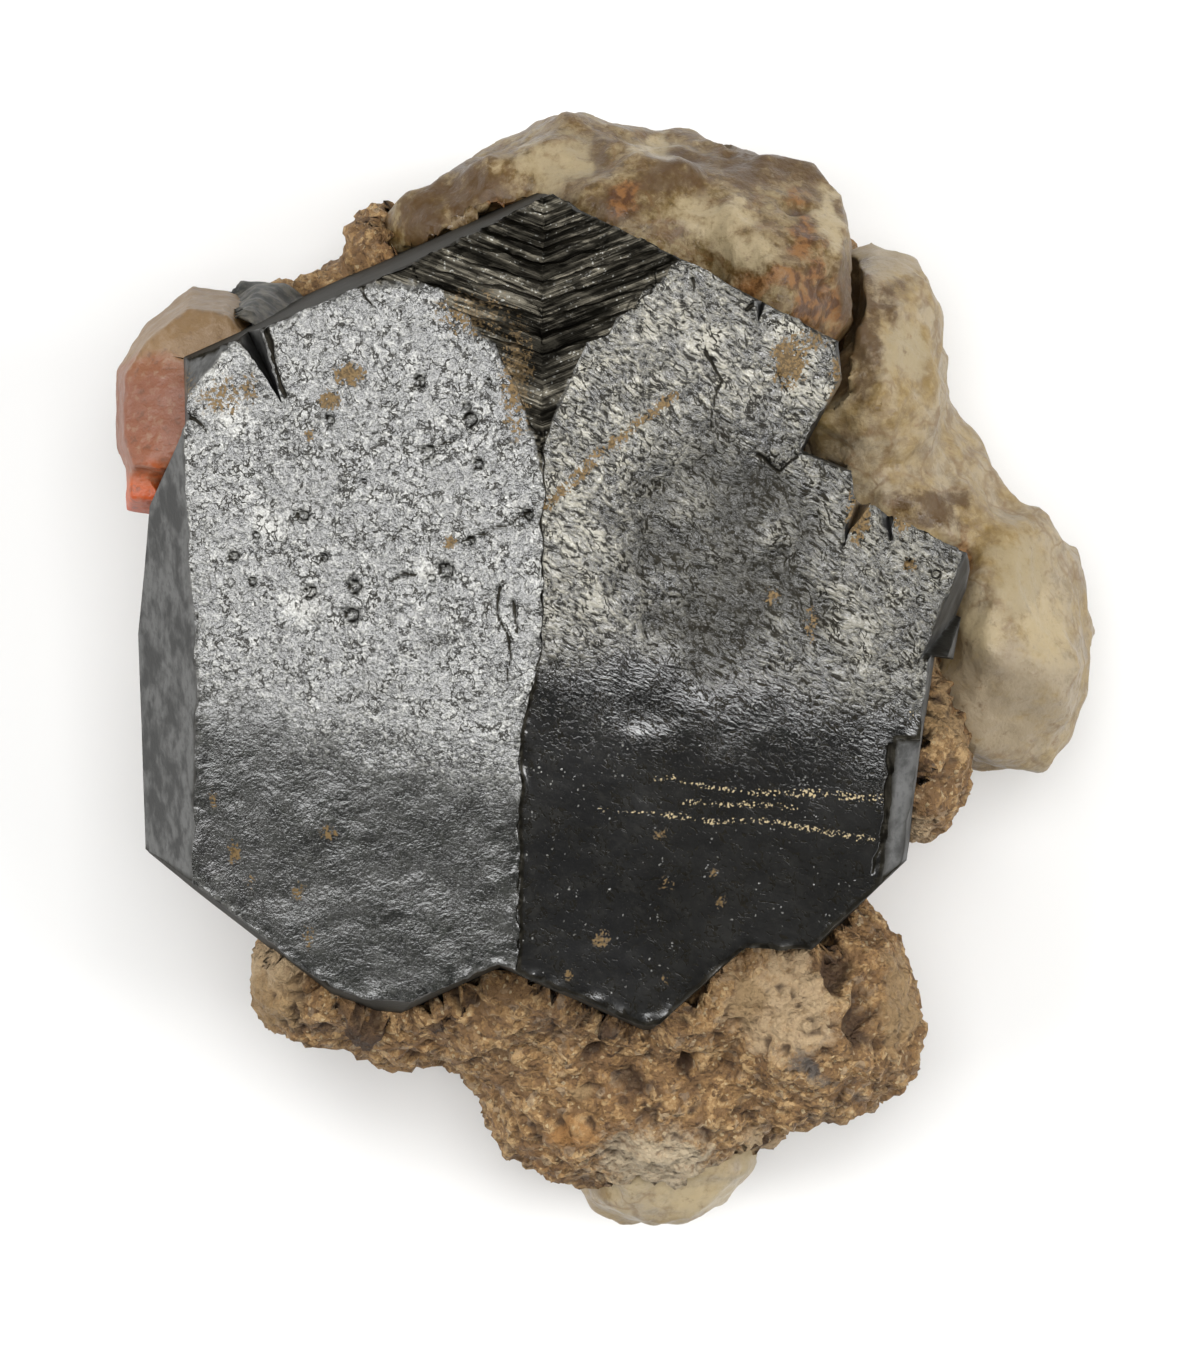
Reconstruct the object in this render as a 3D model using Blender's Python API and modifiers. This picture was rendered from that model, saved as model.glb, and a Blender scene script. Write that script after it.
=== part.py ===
"""Twinned cassiterite crystal on its matrix, as separate solids.

Run with: blender --background --python part.py

Units are metres, with +Z up. The specimen lies on the trimmed underside of its
matrix, at z = 0, with the two big prism faces of the twin looking upwards. The
twin plane is a plane of constant x, so the right individual is the mirror image
of the left one.
"""

import math

import bmesh
import bpy
from mathutils import Matrix, Vector, noise

MM = 0.001
GAP = 0.3 * MM  # between pieces that touch
BLANK = 90 * MM  # side of the block that every flat-faced solid is cut from
SLIVER = 0.0001 * MM

# The crystal lattice: tetragonal, twinned on (011).
AXIAL_RATIO = 0.6728  # c / a
FORWARD_TURN = math.radians(47)  # lays the (110) faces upwards
TWIN_CENTRE = Vector((-1.7, 2.1, 16.0)) * MM
LEFT, RIGHT = -1, 1

# Distances of the twin's faces from TWIN_CENTRE.
PRISM = 5.47 * MM  # both (110) faces, which meet in the ridge
TWIN_BACK = -7.0 * MM  # depth to which the twin is sunk in the matrix, along z
NOTCH_FLOOR = 6.95 * MM  # the gentle V at the near end of the notch
STEPS = 11  # chevron steps up the far end of the notch
STEP_TREAD = 0.36 * MM  # drop from one step to the next
STEP_RISER = 0.36 * MM  # how much farther back each riser is
FIRST_RISER = 8.1 * MM

MATERIALS = {  # colour, roughness
    "cassiterite": ((0.10, 0.10, 0.11), 0.30),
    "orange": ((0.62, 0.20, 0.09), 0.35),
    "honey_quartz": ((0.52, 0.38, 0.22), 0.40),
    "pale_quartz": ((0.60, 0.53, 0.40), 0.38),
    "greisen": ((0.36, 0.23, 0.14), 0.90),
}


# ---------------------------------------------------------------- crystallography


def pole(miller, side):
    """The outward unit normal of a crystal face, from its Miller indices."""
    h, k, l = miller
    half_angle = math.atan(AXIAL_RATIO)
    a1 = Vector((0, 0, 1))
    a2 = Vector((-math.sin(half_angle), math.cos(half_angle), 0))
    c = Vector((-math.cos(half_angle), -math.sin(half_angle), 0))
    normal = Matrix.Rotation(FORWARD_TURN, 3, "X") @ (
        h * a1 + k * a2 + l / AXIAL_RATIO * c
    )
    if side == RIGHT:
        normal.x = -normal.x
    return normal.normalized()


def face(miller, side, distance):
    """A crystal face as (outward normal, point on it)."""
    normal = pole(miller, side)
    return normal, TWIN_CENTRE + normal * distance


def above(plane, x, y):
    """The point of a plane above (x, y), given in mm."""
    normal, point = plane
    foot = Vector((x, y, 0)) * MM
    foot.z = point.z + normal.xy.dot(point.xy - foot.xy) / normal.z
    return foot


def flat(azimuth, elevation, *through):
    """A break or contact face: the way it looks, in degrees, and a point in mm."""
    turn, lift = math.radians(azimuth), math.radians(elevation)
    normal = Vector(
        (
            math.cos(lift) * math.cos(turn),
            math.cos(lift) * math.sin(turn),
            math.sin(lift),
        )
    )
    return normal, Vector(through) * MM


# ---------------------------------------------------------------- mesh helpers


def clear_scene():
    for obj in list(bpy.data.objects):
        bpy.data.objects.remove(obj)


def material(name):
    made = bpy.data.materials.get(name)
    if made is None:
        colour, roughness = MATERIALS[name]
        made = bpy.data.materials.new(name)
        made.use_nodes = True
        shader = made.node_tree.nodes["Principled BSDF"]
        shader.inputs["Base Color"].default_value = (*colour, 1)
        shader.inputs["Roughness"].default_value = roughness
    return made


def new_object(name, shape):
    """An object in the scene from a bmesh, which is freed."""
    mesh = bpy.data.meshes.new(name)
    shape.to_mesh(mesh)
    shape.free()
    obj = bpy.data.objects.new(name, mesh)
    bpy.context.scene.collection.objects.link(obj)
    return obj


def edit(obj, change):
    """Passes the object's mesh, as a bmesh, to the change."""
    shape = bmesh.new()
    shape.from_mesh(obj.data)
    change(shape)
    shape.to_mesh(obj.data)
    shape.free()


def apply_modifiers(obj):
    graph = bpy.context.evaluated_depsgraph_get()
    baked = bpy.data.meshes.new_from_object(obj.evaluated_get(graph))
    obj.modifiers.clear()
    obj.data = baked


def combine(body, others, operation):
    """Joins the other objects to the body, or cuts them from it, and removes them."""
    for other in others:
        modifier = body.modifiers.new(other.name, "BOOLEAN")
        modifier.operation = operation
        modifier.solver = "EXACT"
        modifier.object = other
    apply_modifiers(body)
    for other in others:
        bpy.data.objects.remove(other)


def keep_largest(obj):
    """Drops the crumbs that a cut has left apart from the body."""

    def drop(shape):
        waiting = set(shape.verts)
        islands = []
        while waiting:
            front = [waiting.pop()]
            island = list(front)
            while front:
                for edge in front.pop().link_edges:
                    for vert in edge.verts:
                        if vert in waiting:
                            waiting.remove(vert)
                            front.append(vert)
                            island.append(vert)
            islands.append(island)
        islands.sort(key=len)
        for island in islands[:-1]:
            bmesh.ops.delete(shape, geom=island, context="VERTS")

    edit(obj, drop)


def slice_off(shape, normal, point):
    """Cuts away what lies beyond a plane and closes the cut."""
    bmesh.ops.bisect_plane(
        shape,
        geom=shape.verts[:] + shape.edges[:] + shape.faces[:],
        dist=SLIVER,
        plane_co=point,
        plane_no=normal,
        clear_outer=True,
    )
    rim = [edge for edge in shape.edges if edge.is_boundary]
    if rim:
        bmesh.ops.holes_fill(shape, edges=rim)


def within(name, planes, grow=0.0):
    """The convex solid inside every plane, each moved outwards by grow."""
    shape = bmesh.new()
    bmesh.ops.create_cube(shape, size=BLANK, matrix=Matrix.Translation(TWIN_CENTRE))
    for normal, point in planes:
        slice_off(shape, normal, point + normal * grow)
    bmesh.ops.recalc_face_normals(shape, faces=shape.faces)
    return new_object(name, shape)


def beyond(name, planes, grow=0.0):
    """The wedge outside every plane, to be cut away; growing the body shrinks it."""
    return within(name, [(-normal, point) for normal, point in planes], -grow)


# ---------------------------------------------------------------- the twin

LEFT_FRONT = face((1, 1, 0), LEFT, PRISM)
RIGHT_FRONT = face((1, 1, 0), RIGHT, PRISM)


def crack(tip, toward, spread, dive=45):
    """A crack as two walls that part from its tip, given in mm, toward an azimuth."""
    turn, drop, half = (math.radians(angle) for angle in (toward, dive, spread))
    side = Vector((-math.sin(turn), math.cos(turn), 0))
    up = Vector(
        (
            math.cos(turn) * math.sin(drop),
            math.sin(turn) * math.sin(drop),
            math.cos(drop),
        )
    )
    walls = [side * sign * math.cos(half) + up * math.sin(half) for sign in (-1, 1)]
    return [(wall, Vector(tip) * MM) for wall in walls]


def bent(front, start, end, angle):
    """A front face tilted back about a line across it, given from left to right in mm."""
    hinge = above(front, *start)
    tilt = Matrix.Rotation(math.radians(angle), 3, above(front, *end) - hinge)
    return tilt @ front[0], hinge


def twin_outline():
    """The faces of the twin that bound it as one convex body."""
    return [
        LEFT_FRONT,
        RIGHT_FRONT,
        # the lower halves of the front faces bend back a little
        bent(LEFT_FRONT, (-13.0, -0.9), (-1.7, -2.1), 9),
        bent(RIGHT_FRONT, (-1.7, 0.9), (10.0, -1.5), 10),
        # the roof: the (-1 1 0) faces, a little off their poles
        flat(114.5, 5.0, -8.0, 11.05, 20.4),
        flat(63, 1.5, 3.14, 11.8, 21.2),
        # the left end: the side strip and where it is broken off
        flat(185, 21, -12.2, 2.1, 17.6),
        flat(173, 0, -13.85, 3.6, 13.5),
        flat(181, -3, -14.2, 1.5, 13.0),
        flat(150, 24, -11.95, 9.2, 17.9),
        flat(-128, 4, -10.0, -8.2, 15.8),
        flat(-109, 5, -7.9, -9.65, 16.3),
        flat(-97, 6, -6.9, -9.87, 17.0),
        # the right end
        flat(-11, 4, 11.1, 3.7, 16.7),
        face((1, 0, 1), RIGHT, 13.2 * MM),
        flat(-85, 4, 1.4, -10.7, 16.9),
        # sunk in the matrix
        flat(0, -90, 0, 0, (TWIN_CENTRE.z + TWIN_BACK) / MM),
        flat(180, -50, -13.6, 0, 9.9),
        flat(0, -55, 9.8, 0, 9.6),
    ]


def notch_wedges():
    """The re-entrant notch at the top: a gentle V, then chevron steps."""
    wedges = [[face((1, 1, -1), side, NOTCH_FLOOR) for side in (LEFT, RIGHT)]]
    for step in range(STEPS):
        tread = NOTCH_FLOOR - STEP_TREAD * (step + 1)
        riser = FIRST_RISER + STEP_RISER * step
        wedges.append(
            [face((1, 1, -1), side, tread) for side in (LEFT, RIGHT)]
            + [face((-1, 1, -1), side, riser) for side in (LEFT, RIGHT)]
        )
    return wedges


def edge_wedges():
    """Re-entrant places round the edge: grown, chipped or cracked."""
    return [
        # the notch at the foot, between the (1 -1 0) faces
        [face((1, -1, 0), LEFT, 9.6 * MM), face((1, -1, 0), RIGHT, 10.65 * MM)],
        # the left end is cut back above its side strip
        [flat(181, 4, -12.4, 8.0, 17.5), flat(156, 3, -12.8, 6.75, 16.0)],
        # the shoulder at the right, and the end face below it
        [face((-1, 1, 0), RIGHT, 6.36 * MM), flat(6, 1, 7.6, 5.5, 17.0)],
        [flat(-23, 6, 9.7, 0.4, 16.85), flat(75, 14, 9.7, 0.4, 16.85)],
        # the strip below them, and the narrow bevel along its foot
        [flat(-8, 3, 9.8, -0.9, 16.65), flat(-98, 0, 9.7, 0.5, 16.7)],
        [flat(-22, 45, 8.95, -2.1, 16.7), flat(-84, 12, 9.4, -2.05, 16.7)],
        # chips
        [flat(-30, 1, 6.45, 7.45, 19.2), flat(67, 2, 5.9, 6.6, 19.2)],
        [flat(-48, 1, 3.4, -9.25, 17.0), flat(-92, 1, 5.0, -8.4, 16.5)],
        # cracks that run in from the roof and from the shoulder
        crack((-9.55, 8.15, 19.2), 117, 13),
        crack((7.3, 3.75, 18.25), 66, 13),
        crack((8.7, 3.85, 17.7), 93, 13),
        crack((4.75, 10.45, 20.2), 80, 15),
    ]


def twin_body(name, grow=0.0):
    """The twin crystal, or with grow the pocket that it sits in."""
    body = within(name, twin_outline(), grow)
    wedges = notch_wedges() + edge_wedges()
    combine(body, [beyond("wedge", wedge, grow) for wedge in wedges], "DIFFERENCE")
    keep_largest(body)
    return body


# ---------------------------------------------------------------- small crystals


def small_cassiterite(name, grow=0.0):
    """A little crystal behind the roof of the twin, at the left."""
    return within(
        name,
        [
            flat(85, 14, -10.6, 11.45, 12.0),
            flat(132, 12, -11.4, 11.15, 12.0),
            flat(200, 8, -11.9, 10.6, 12.0),
            flat(30, 8, -8.9, 11.3, 12.0),
            flat(95, 60, -10.6, 11.2, 14.4),
            flat(-120, 55, -10.6, 10.0, 14.6),
            flat(-90, 0, -10.6, 9.4, 12.0),
            flat(0, -90, -10.6, 11.0, 9.4),
        ],
        grow,
    )


def orange_crystal(name, grow=0.0):
    """A broken reddish crystal against the left end of the twin."""
    body = within(
        name,
        [
            flat(180, 6, -14.85, 8.2, 11.0),
            flat(147, 8, -14.6, 9.6, 11.0),
            flat(128, 10, -13.3, 11.1, 11.0),
            flat(85, 12, -12.1, 11.6, 11.0),
            flat(62, 10, -11.2, 11.4, 11.0),
            flat(198, 6, -14.75, 6.6, 11.0),
            flat(-42, 5, -13.3, 6.2, 11.5),
            flat(-90, 5, -14.0, 5.95, 12.0),
            flat(0, 0, -10.35, 9.0, 12.0),
            flat(165, 58, -13.9, 8.4, 14.2),
            flat(100, 60, -12.6, 10.4, 14.3),
            flat(-10, 76, -12.6, 8.4, 14.8),
            flat(0, -90, -13.0, 8.0, 9.8),
        ],
        grow,
    )
    tip = within(
        "tip",
        [
            flat(182, 6, -14.55, 5.6, 11.6),
            flat(-6, 8, -13.65, 5.6, 11.8),
            flat(-98, 10, -14.1, 4.95, 11.8),
            flat(-50, 14, -13.85, 5.05, 12.0),
            flat(90, 0, -14.0, 7.4, 12.4),
            flat(200, 62, -14.3, 5.8, 13.3),
            flat(-20, 72, -14.0, 6.0, 13.6),
            flat(-90, -78, -14.0, 6.0, 10.6),
        ],
        grow,
    )
    combine(body, [tip], "UNION")
    return body


# ---------------------------------------------------------------- stone


def ellipsoids(name, lumps):
    """One closed mesh round a list of lumps, each (centre, radii) in mm."""
    shape = bmesh.new()
    for centre, radii in lumps:
        place = Matrix.Translation(Vector(centre) * MM)
        bmesh.ops.create_icosphere(
            shape,
            subdivisions=4,
            radius=1,
            matrix=place @ Matrix.Diagonal((*(Vector(radii) * MM), 1)),
        )
    return new_object(name, shape)


def stone(name, grow, lumps, flats=(), triangles=2000, voxel=0.45, seed=0.0, rough=1.0):
    """A lump of stone: ellipsoids run together, roughened, then broken flat."""
    body = ellipsoids(name, lumps)
    remesh = body.modifiers.new("remesh", "REMESH")
    remesh.mode = "VOXEL"
    remesh.voxel_size = voxel * MM
    smooth = body.modifiers.new("smooth", "SMOOTH")
    smooth.factor = 0.5
    smooth.iterations = 6
    apply_modifiers(body)

    def roughen(shape):
        shape.normal_update()
        moves = []
        for vert in shape.verts:
            place = vert.co / MM + Vector((seed, -seed, 2 * seed))
            broad = noise.noise(place / 3.1)
            grain = 0.5 - noise.voronoi(place / 1.5)[0][0]
            fine = noise.noise(place / 0.8)
            relief = (0.75 * broad + 0.55 * grain + 0.12 * fine) * rough * MM
            moves.append(vert.normal * (relief + grow))
        for vert, move in zip(shape.verts, moves):
            vert.co += move
        for normal, point in flats:
            slice_off(shape, normal, point + normal * grow)
        bmesh.ops.triangulate(shape, faces=shape.faces)

    edit(body, roughen)
    decimate = body.modifiers.new("decimate", "DECIMATE")
    decimate.ratio = min(1.0, triangles / len(body.data.polygons))
    apply_modifiers(body)
    return body


def quartz_back(name, grow=0.0):
    return stone(
        name,
        grow,
        [
            ((-0.4, 12.3, 7.6), (6.3, 4.9, 5.6)),
            ((5.0, 11.9, 8.8), (3.4, 4.2, 5.4)),
            ((1.0, 13.2, 8.3), (4.8, 3.9, 5.0)),
        ],
        flats=[
            flat(2, 4, 7.7, 12.5, 10.0),
            flat(62, 35, 6.2, 14.9, 10.5),
            flat(60, 76, 5.0, 13.0, 14.3),
        ],
        triangles=900,
        seed=3.1,
    )


def quartz_right(name, grow=0.0):
    return stone(
        name,
        grow,
        [
            ((8.3, 8.6, 6.0), (2.7, 4.5, 5.0)),
            ((9.4, 5.0, 5.6), (3.1, 3.3, 4.6)),
            ((12.5, 1.0, 5.2), (2.9, 4.5, 4.8)),
        ],
        flats=[flat(20, 35, 14.0, 3.2, 8.0)],
        triangles=900,
        seed=7.7,
        rough=0.8,
    )


def quartz_foot(name, grow=0.0):
    return stone(
        name,
        grow,
        [
            ((2.2, -15.4, 5.0), (2.9, 2.0, 3.4)),
            ((0.9, -15.9, 4.6), (1.7, 1.3, 2.8)),
        ],
        flats=[flat(-80, 50, 2.4, -16.6, 7.0)],
        triangles=400,
        voxel=0.35,
        seed=12.4,
        rough=0.7,
    )


def matrix(name, grow=0.0):
    return stone(
        name,
        grow,
        [
            ((-0.3, 0.8, 5.5), (10.6, 12.2, 7.4)),
            ((-5.2, 12.0, 6.4), (3.4, 3.0, 5.0)),
            ((3.0, 11.0, 4.6), (6.0, 5.0, 5.4)),
            ((10.0, 2.6, 4.2), (3.6, 5.0, 4.6)),
            ((9.5, -2.6, 7.6), (1.9, 2.6, 5.0)),
            ((-0.3, -9.2, 7.0), (9.6, 3.8, 7.6)),
            ((6.2, -10.8, 7.0), (4.0, 3.7, 6.6)),
            ((1.4, -12.6, 5.8), (5.4, 3.9, 5.6)),
            ((-7.9, -8.8, 7.0), (3.0, 2.8, 6.6)),
            ((-10.6, 7.9, 6.0), (2.6, 3.2, 4.4)),
            ((-9.0, 10.2, 7.4), (2.2, 1.9, 5.0)),
            ((7.1, 7.2, 9.4), (1.3, 2.4, 5.6)),
        ],
        triangles=4600,
        seed=0.0,
    )


def trim_base(body):
    """The underside is sawn flat, so that the specimen stands."""
    edit(body, lambda shape: slice_off(shape, Vector((0, 0, -1)), Vector((0, 0, 0))))


def centre_on_origin(pieces):
    """Puts the middle of the footprint at x = y = 0, and gives the shift made."""
    corners = [vert.co for piece in pieces for vert in piece.data.vertices]
    middle = Vector(
        [
            -(min(p[axis] for p in corners) + max(p[axis] for p in corners)) / 2
            for axis in range(2)
        ]
        + [0]
    )
    for piece in pieces:
        piece.data.transform(Matrix.Translation(middle))
    return middle


# each piece makes room for those above it
PIECES = (
    ("cassiterite_twin", twin_body, "cassiterite"),
    ("orange_crystal", orange_crystal, "orange"),
    ("small_cassiterite", small_cassiterite, "cassiterite"),
    ("quartz_back", quartz_back, "honey_quartz"),
    ("quartz_right", quartz_right, "pale_quartz"),
    ("quartz_foot", quartz_foot, "pale_quartz"),
    ("matrix", matrix, "greisen"),
)


def main():
    clear_scene()
    specimen = bpy.data.collections.new("cassiterite_specimen")
    bpy.context.scene.collection.children.link(specimen)
    pieces = []
    for order, (name, make, finish) in enumerate(PIECES):
        piece = make(name)
        rooms = [earlier(label + "_room", GAP) for label, earlier, _ in PIECES[:order]]
        combine(piece, rooms, "DIFFERENCE")
        trim_base(piece)
        keep_largest(piece)
        piece.data.materials.clear()
        piece.data.materials.append(material(finish))
        bpy.context.scene.collection.objects.unlink(piece)
        specimen.objects.link(piece)
        pieces.append(piece)
    shift = centre_on_origin(pieces)
    print("moved by, in mm:", [round(value / MM, 3) for value in shift])


main()
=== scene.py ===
"""Dresses a twinned cassiterite specimen: etched crystals, waxy quartz, crumbly stone.

Laid out as an add-on with one operator for each kind of piece, but run as a script.
Lengths in the settings are in metres. Inside the relief functions, places are in
millimetres, because the grains and pits are all of that order.
"""

import math
from types import SimpleNamespace

import bmesh
import bpy
from bpy.props import FloatProperty, FloatVectorProperty, PointerProperty
from mathutils import Matrix, Vector, noise
from mathutils.bvhtree import BVHTree
from mathutils.kdtree import KDTree


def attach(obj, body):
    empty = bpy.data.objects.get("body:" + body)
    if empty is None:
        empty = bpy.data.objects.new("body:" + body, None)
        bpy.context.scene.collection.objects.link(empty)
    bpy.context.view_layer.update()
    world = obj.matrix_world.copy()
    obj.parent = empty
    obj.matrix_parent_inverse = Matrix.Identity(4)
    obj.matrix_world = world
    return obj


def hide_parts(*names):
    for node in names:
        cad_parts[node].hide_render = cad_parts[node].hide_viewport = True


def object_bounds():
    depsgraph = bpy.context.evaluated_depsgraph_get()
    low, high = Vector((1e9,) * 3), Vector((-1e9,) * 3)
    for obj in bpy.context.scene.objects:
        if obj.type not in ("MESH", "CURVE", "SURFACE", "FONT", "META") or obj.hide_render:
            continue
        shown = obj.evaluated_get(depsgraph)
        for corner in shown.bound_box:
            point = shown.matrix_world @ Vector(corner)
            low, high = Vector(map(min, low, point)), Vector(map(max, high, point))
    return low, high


bl_info = {
    "name": "Cassiterite specimen",
    "version": (1, 0, 0),
    "blender": (4, 5, 0),
    "location": "View3D > Sidebar > Specimen",
    "description": "Builds the finish of a twinned cassiterite crystal on its matrix",
    "category": "Object",
}

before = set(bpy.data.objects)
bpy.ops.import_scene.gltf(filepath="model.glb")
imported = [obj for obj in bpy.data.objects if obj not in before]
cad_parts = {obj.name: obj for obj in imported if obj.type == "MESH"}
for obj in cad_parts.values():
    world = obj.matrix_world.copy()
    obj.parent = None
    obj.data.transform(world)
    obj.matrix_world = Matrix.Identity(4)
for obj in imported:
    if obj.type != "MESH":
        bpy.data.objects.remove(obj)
CAD_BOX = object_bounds()
MM = 0.001
BODY = "root"
NOISE_SEED = 4  # noise_vector's offsets come from the seed
SHARP = math.radians(14)  # an edge that bends more than this is a sharp one

# Where things lie on the twin, in mm, in the frame's x and y.
NOTCH_X = -1.99
NOTCH_LOW = 7.5  # the notch's facets lie past this y
NOTCH_REACH = 5.5  # how far the notch's facets lie to each side of its middle
NOTCH_SLOPE = 0.38  # how far a chevron falls for each mm towards the notch's middle
FRONT_Z = 14  # the front faces lie above this
STAINED_Z = 12  # and their stains run down to here
FEATURE_REACH = 0.20  # edges this near to a pit or a crack are halved once more
RIM_REACH = 0.4  # how far in from a sharp edge the skin is jagged
# The points at which the lights and the camera aim.
LIGHTS_AIM = (0, 0, 17)
CAMERA_AIM = (-0.29, -0.28, 18)
# The y of the reddish crystal's bright tip, and the length of its run of colours.
ORANGE_TIP, ORANGE_LENGTH = 4.8, 7.0
# The line where each front face bends back: two points, and the bend in degrees.
HINGE_LEFT = ((-13.29, -0.88), (-1.99, -2.08), 9)
HINGE_RIGHT = ((-1.99, 0.92), (9.71, -1.48), 10)
# The right face's hollow, sunk and painted in shade: x, y, radius along x, radius along y.
HOLLOW = (3.5, 3.0, 3.2, 3.8)
# The tip of the stone that would stick out past the quartz, given in the same way.
STONE_TIP = (12.6, 6.0, 1.6, 1.8)

# The ragged upper border of the etched skin on the left face, from left to right.
# Above it the face looks as the notch does.
ETCHED_TOP = (
    (-14.0, 8.7),
    (-12.8, 9.0),
    (-11.9, 9.9),
    (-10.7, 10.25),
    (-9.3, 11.05),
    (-7.8, 11.45),
    (-5.4, 11.45),
    (-4.5, 10.9),
    (-3.6, 9.8),
    (-2.9, 8.6),
    (-2.4, 7.2),
    (-1.9, 5.4),
)

# Etch pits on the front faces: x, y, radius.
PITS = (
    (-5.65, 8.54, 0.19),
    (-4.14, 7.42, 0.22),
    (-4.24, 7.80, 0.14),
    (-3.60, 8.50, 0.11),
    (-8.33, 7.46, 0.15),
    (-5.41, 6.46, 0.24),
    (-3.90, 6.10, 0.17),
    (-7.30, 5.65, 0.09),
    (-9.17, 4.63, 0.18),
    (-7.66, 4.57, 0.07),
    (-10.60, 4.05, 0.13),
    (-11.28, 3.42, 0.16),
    (-8.54, 3.39, 0.14),
    (-10.73, 2.67, 0.14),
    (-8.96, 2.34, 0.20),
    (-7.63, 2.49, 0.21),
    (-7.72, 1.65, 0.22),
    (-4.11, 3.87, 0.14),
    (-4.87, 2.97, 0.24),
    (-5.30, 2.75, 0.13),
    (-2.43, 4.60, 0.17),
    (9.00, 3.20, 0.15),
    (9.85, 2.90, 0.14),
    (9.35, 2.15, 0.12),
    (0.22, 2.44, 0.10),
)
# Iron stains: x, y, radius along x, radius along y, strength.
STAINS = (
    (-7.72, 8.81, 0.46, 0.32, 1.0),
    (-8.33, 8.06, 0.34, 0.26, 1.0),
    (-8.96, 7.00, 0.15, 0.20, 0.9),
    (-4.74, 3.78, 0.20, 0.18, 0.7),
    (-11.60, 8.20, 0.70, 0.60, 0.45),
    (-10.80, 8.40, 0.30, 0.50, 0.45),
    (-11.34, -5.46, 0.18, 0.36, 0.9),
    (-8.42, -4.89, 0.28, 0.24, 0.6),
    (-9.35, -6.63, 0.22, 0.26, 0.5),
    (-11.94, -3.83, 0.14, 0.30, 0.5),
    (-10.86, -6.39, 0.20, 0.24, 0.4),
    (-9.11, -8.02, 0.22, 0.36, 0.4),
    (5.35, 9.20, 0.50, 0.70, 0.95),
    (6.10, 9.90, 0.50, 0.35, 0.55),
    (4.94, 2.20, 0.26, 0.24, 0.5),
    (6.10, 1.40, 0.20, 0.60, 0.45),
    (9.00, 3.20, 0.22, 0.20, 0.7),
    (-0.23, -8.05, 0.24, 0.24, 0.85),
    (3.39, -6.97, 0.18, 0.20, 0.8),
    (-1.25, -9.10, 0.15, 0.14, 0.7),
    (1.73, -6.39, 0.30, 0.22, 0.35),
    (1.52, -4.89, 0.20, 0.24, 0.5),
    (3.08, -6.09, 0.20, 0.14, 0.4),
    (1.67, -9.30, 0.18, 0.18, 0.4),
    (-2.75, 8.70, 0.45, 1.60, 0.75),
    (-4.00, 10.60, 1.10, 0.70, 0.55),
    (7.45, 4.60, 0.30, 0.70, 1.1),
    (8.75, 4.60, 0.25, 0.50, 1.0),
    (6.90, 7.90, 0.35, 1.20, 1.0),
    (-13.00, 8.60, 0.50, 0.60, 0.5),
)
# Clusters of pale grains on the left face: x, y, radius.
PALE_CLUSTERS = (
    (-10.22, 4.45, 0.55),
    (-9.26, 1.92, 0.50),
    (-5.45, 2.95, 0.36),
    (-12.30, 9.10, 0.80),
    (-10.60, 9.90, 0.60),
    (-11.30, 7.60, 0.60),
    (6.60, 0.90, 0.40),
    (-3.00, -9.40, 0.70),
)
# Cracks and dark gouges: half width at the start, at the end, then x, y of each corner.
CRACKS = (
    (0.34, 0.05, (-10.45, 10.40), (-10.15, 9.30), (-9.68, 8.20)),
    (0.13, 0.05, (-12.90, 7.80), (-12.39, 7.60), (-12.10, 7.15)),
    (0.09, 0.03, (-7.45, 11.37), (-7.09, 10.80)),
    (0.05, 0.03, (-2.40, 4.66), (-3.27, 4.27), (-4.17, 3.87), (-4.80, 3.75)),
    (0.04, 0.02, (-6.58, 3.87), (-5.83, 4.39), (-4.80, 4.84)),
    (0.05, 0.03, (-5.30, 6.50), (-4.41, 6.94)),
    (0.04, 0.03, (-6.60, 2.67), (-5.80, 2.90)),
    (0.06, 0.04, (-3.25, 2.50), (-3.35, 1.60), (-2.95, 0.90), (-3.05, -0.30)),
    (0.06, 0.03, (-2.90, 2.00), (-2.75, 1.20)),
    (0.08, 0.03, (2.96, 9.47), (3.32, 8.63), (3.14, 7.91), (3.08, 7.06)),
    (0.09, 0.03, (4.47, 6.46), (5.13, 5.86), (5.61, 6.34), (5.37, 6.70)),
    (0.16, 0.08, (4.60, 11.25), (4.45, 10.95), (4.10, 10.75)),
    (0.07, 0.03, (1.20, 11.80), (1.30, 11.20), (0.90, 10.90)),
    (0.07, 0.03, (2.50, 11.60), (2.55, 11.00)),
    (0.07, 0.03, (5.00, 8.90), (5.50, 8.10)),
    (0.10, 0.05, (8.42, -2.30), (8.38, -3.90), (8.22, -5.20), (7.95, -6.10)),
)
# The line where the two crystals of the twin meet, given as a crack is.
SUTURE = (0.05, 0.03, (-1.99, 6.6), (-1.99, 0.92), (-2.66, -2.01), (-2.76, -9.0))
# Grainy cream streaks low on the right face: half width, then x, y of each corner.
STREAKS = (
    (0.10, (1.37, -3.25), (1.80, -3.18), (3.02, -3.50), (4.44, -3.68)),
    (0.15, (4.44, -3.68), (6.03, -3.70), (8.23, -3.85)),
    (0.12, (1.61, -4.28), (3.23, -4.55), (4.44, -4.49), (5.73, -4.70), (7.93, -5.10)),
    (0.07, (-0.30, -4.15), (1.80, -4.25)),
    (0.13, (2.20, -3.95), (3.60, -4.00), (5.60, -4.10)),
    (0.10, (9.10, -1.45), (9.12, -1.30)),
)
# The thin brown vein across the right face: half width, then x, y of each end.
VEIN = (0.10, (-1.97, 4.75), (-0.40, 6.30), (1.90, 8.15))
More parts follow.
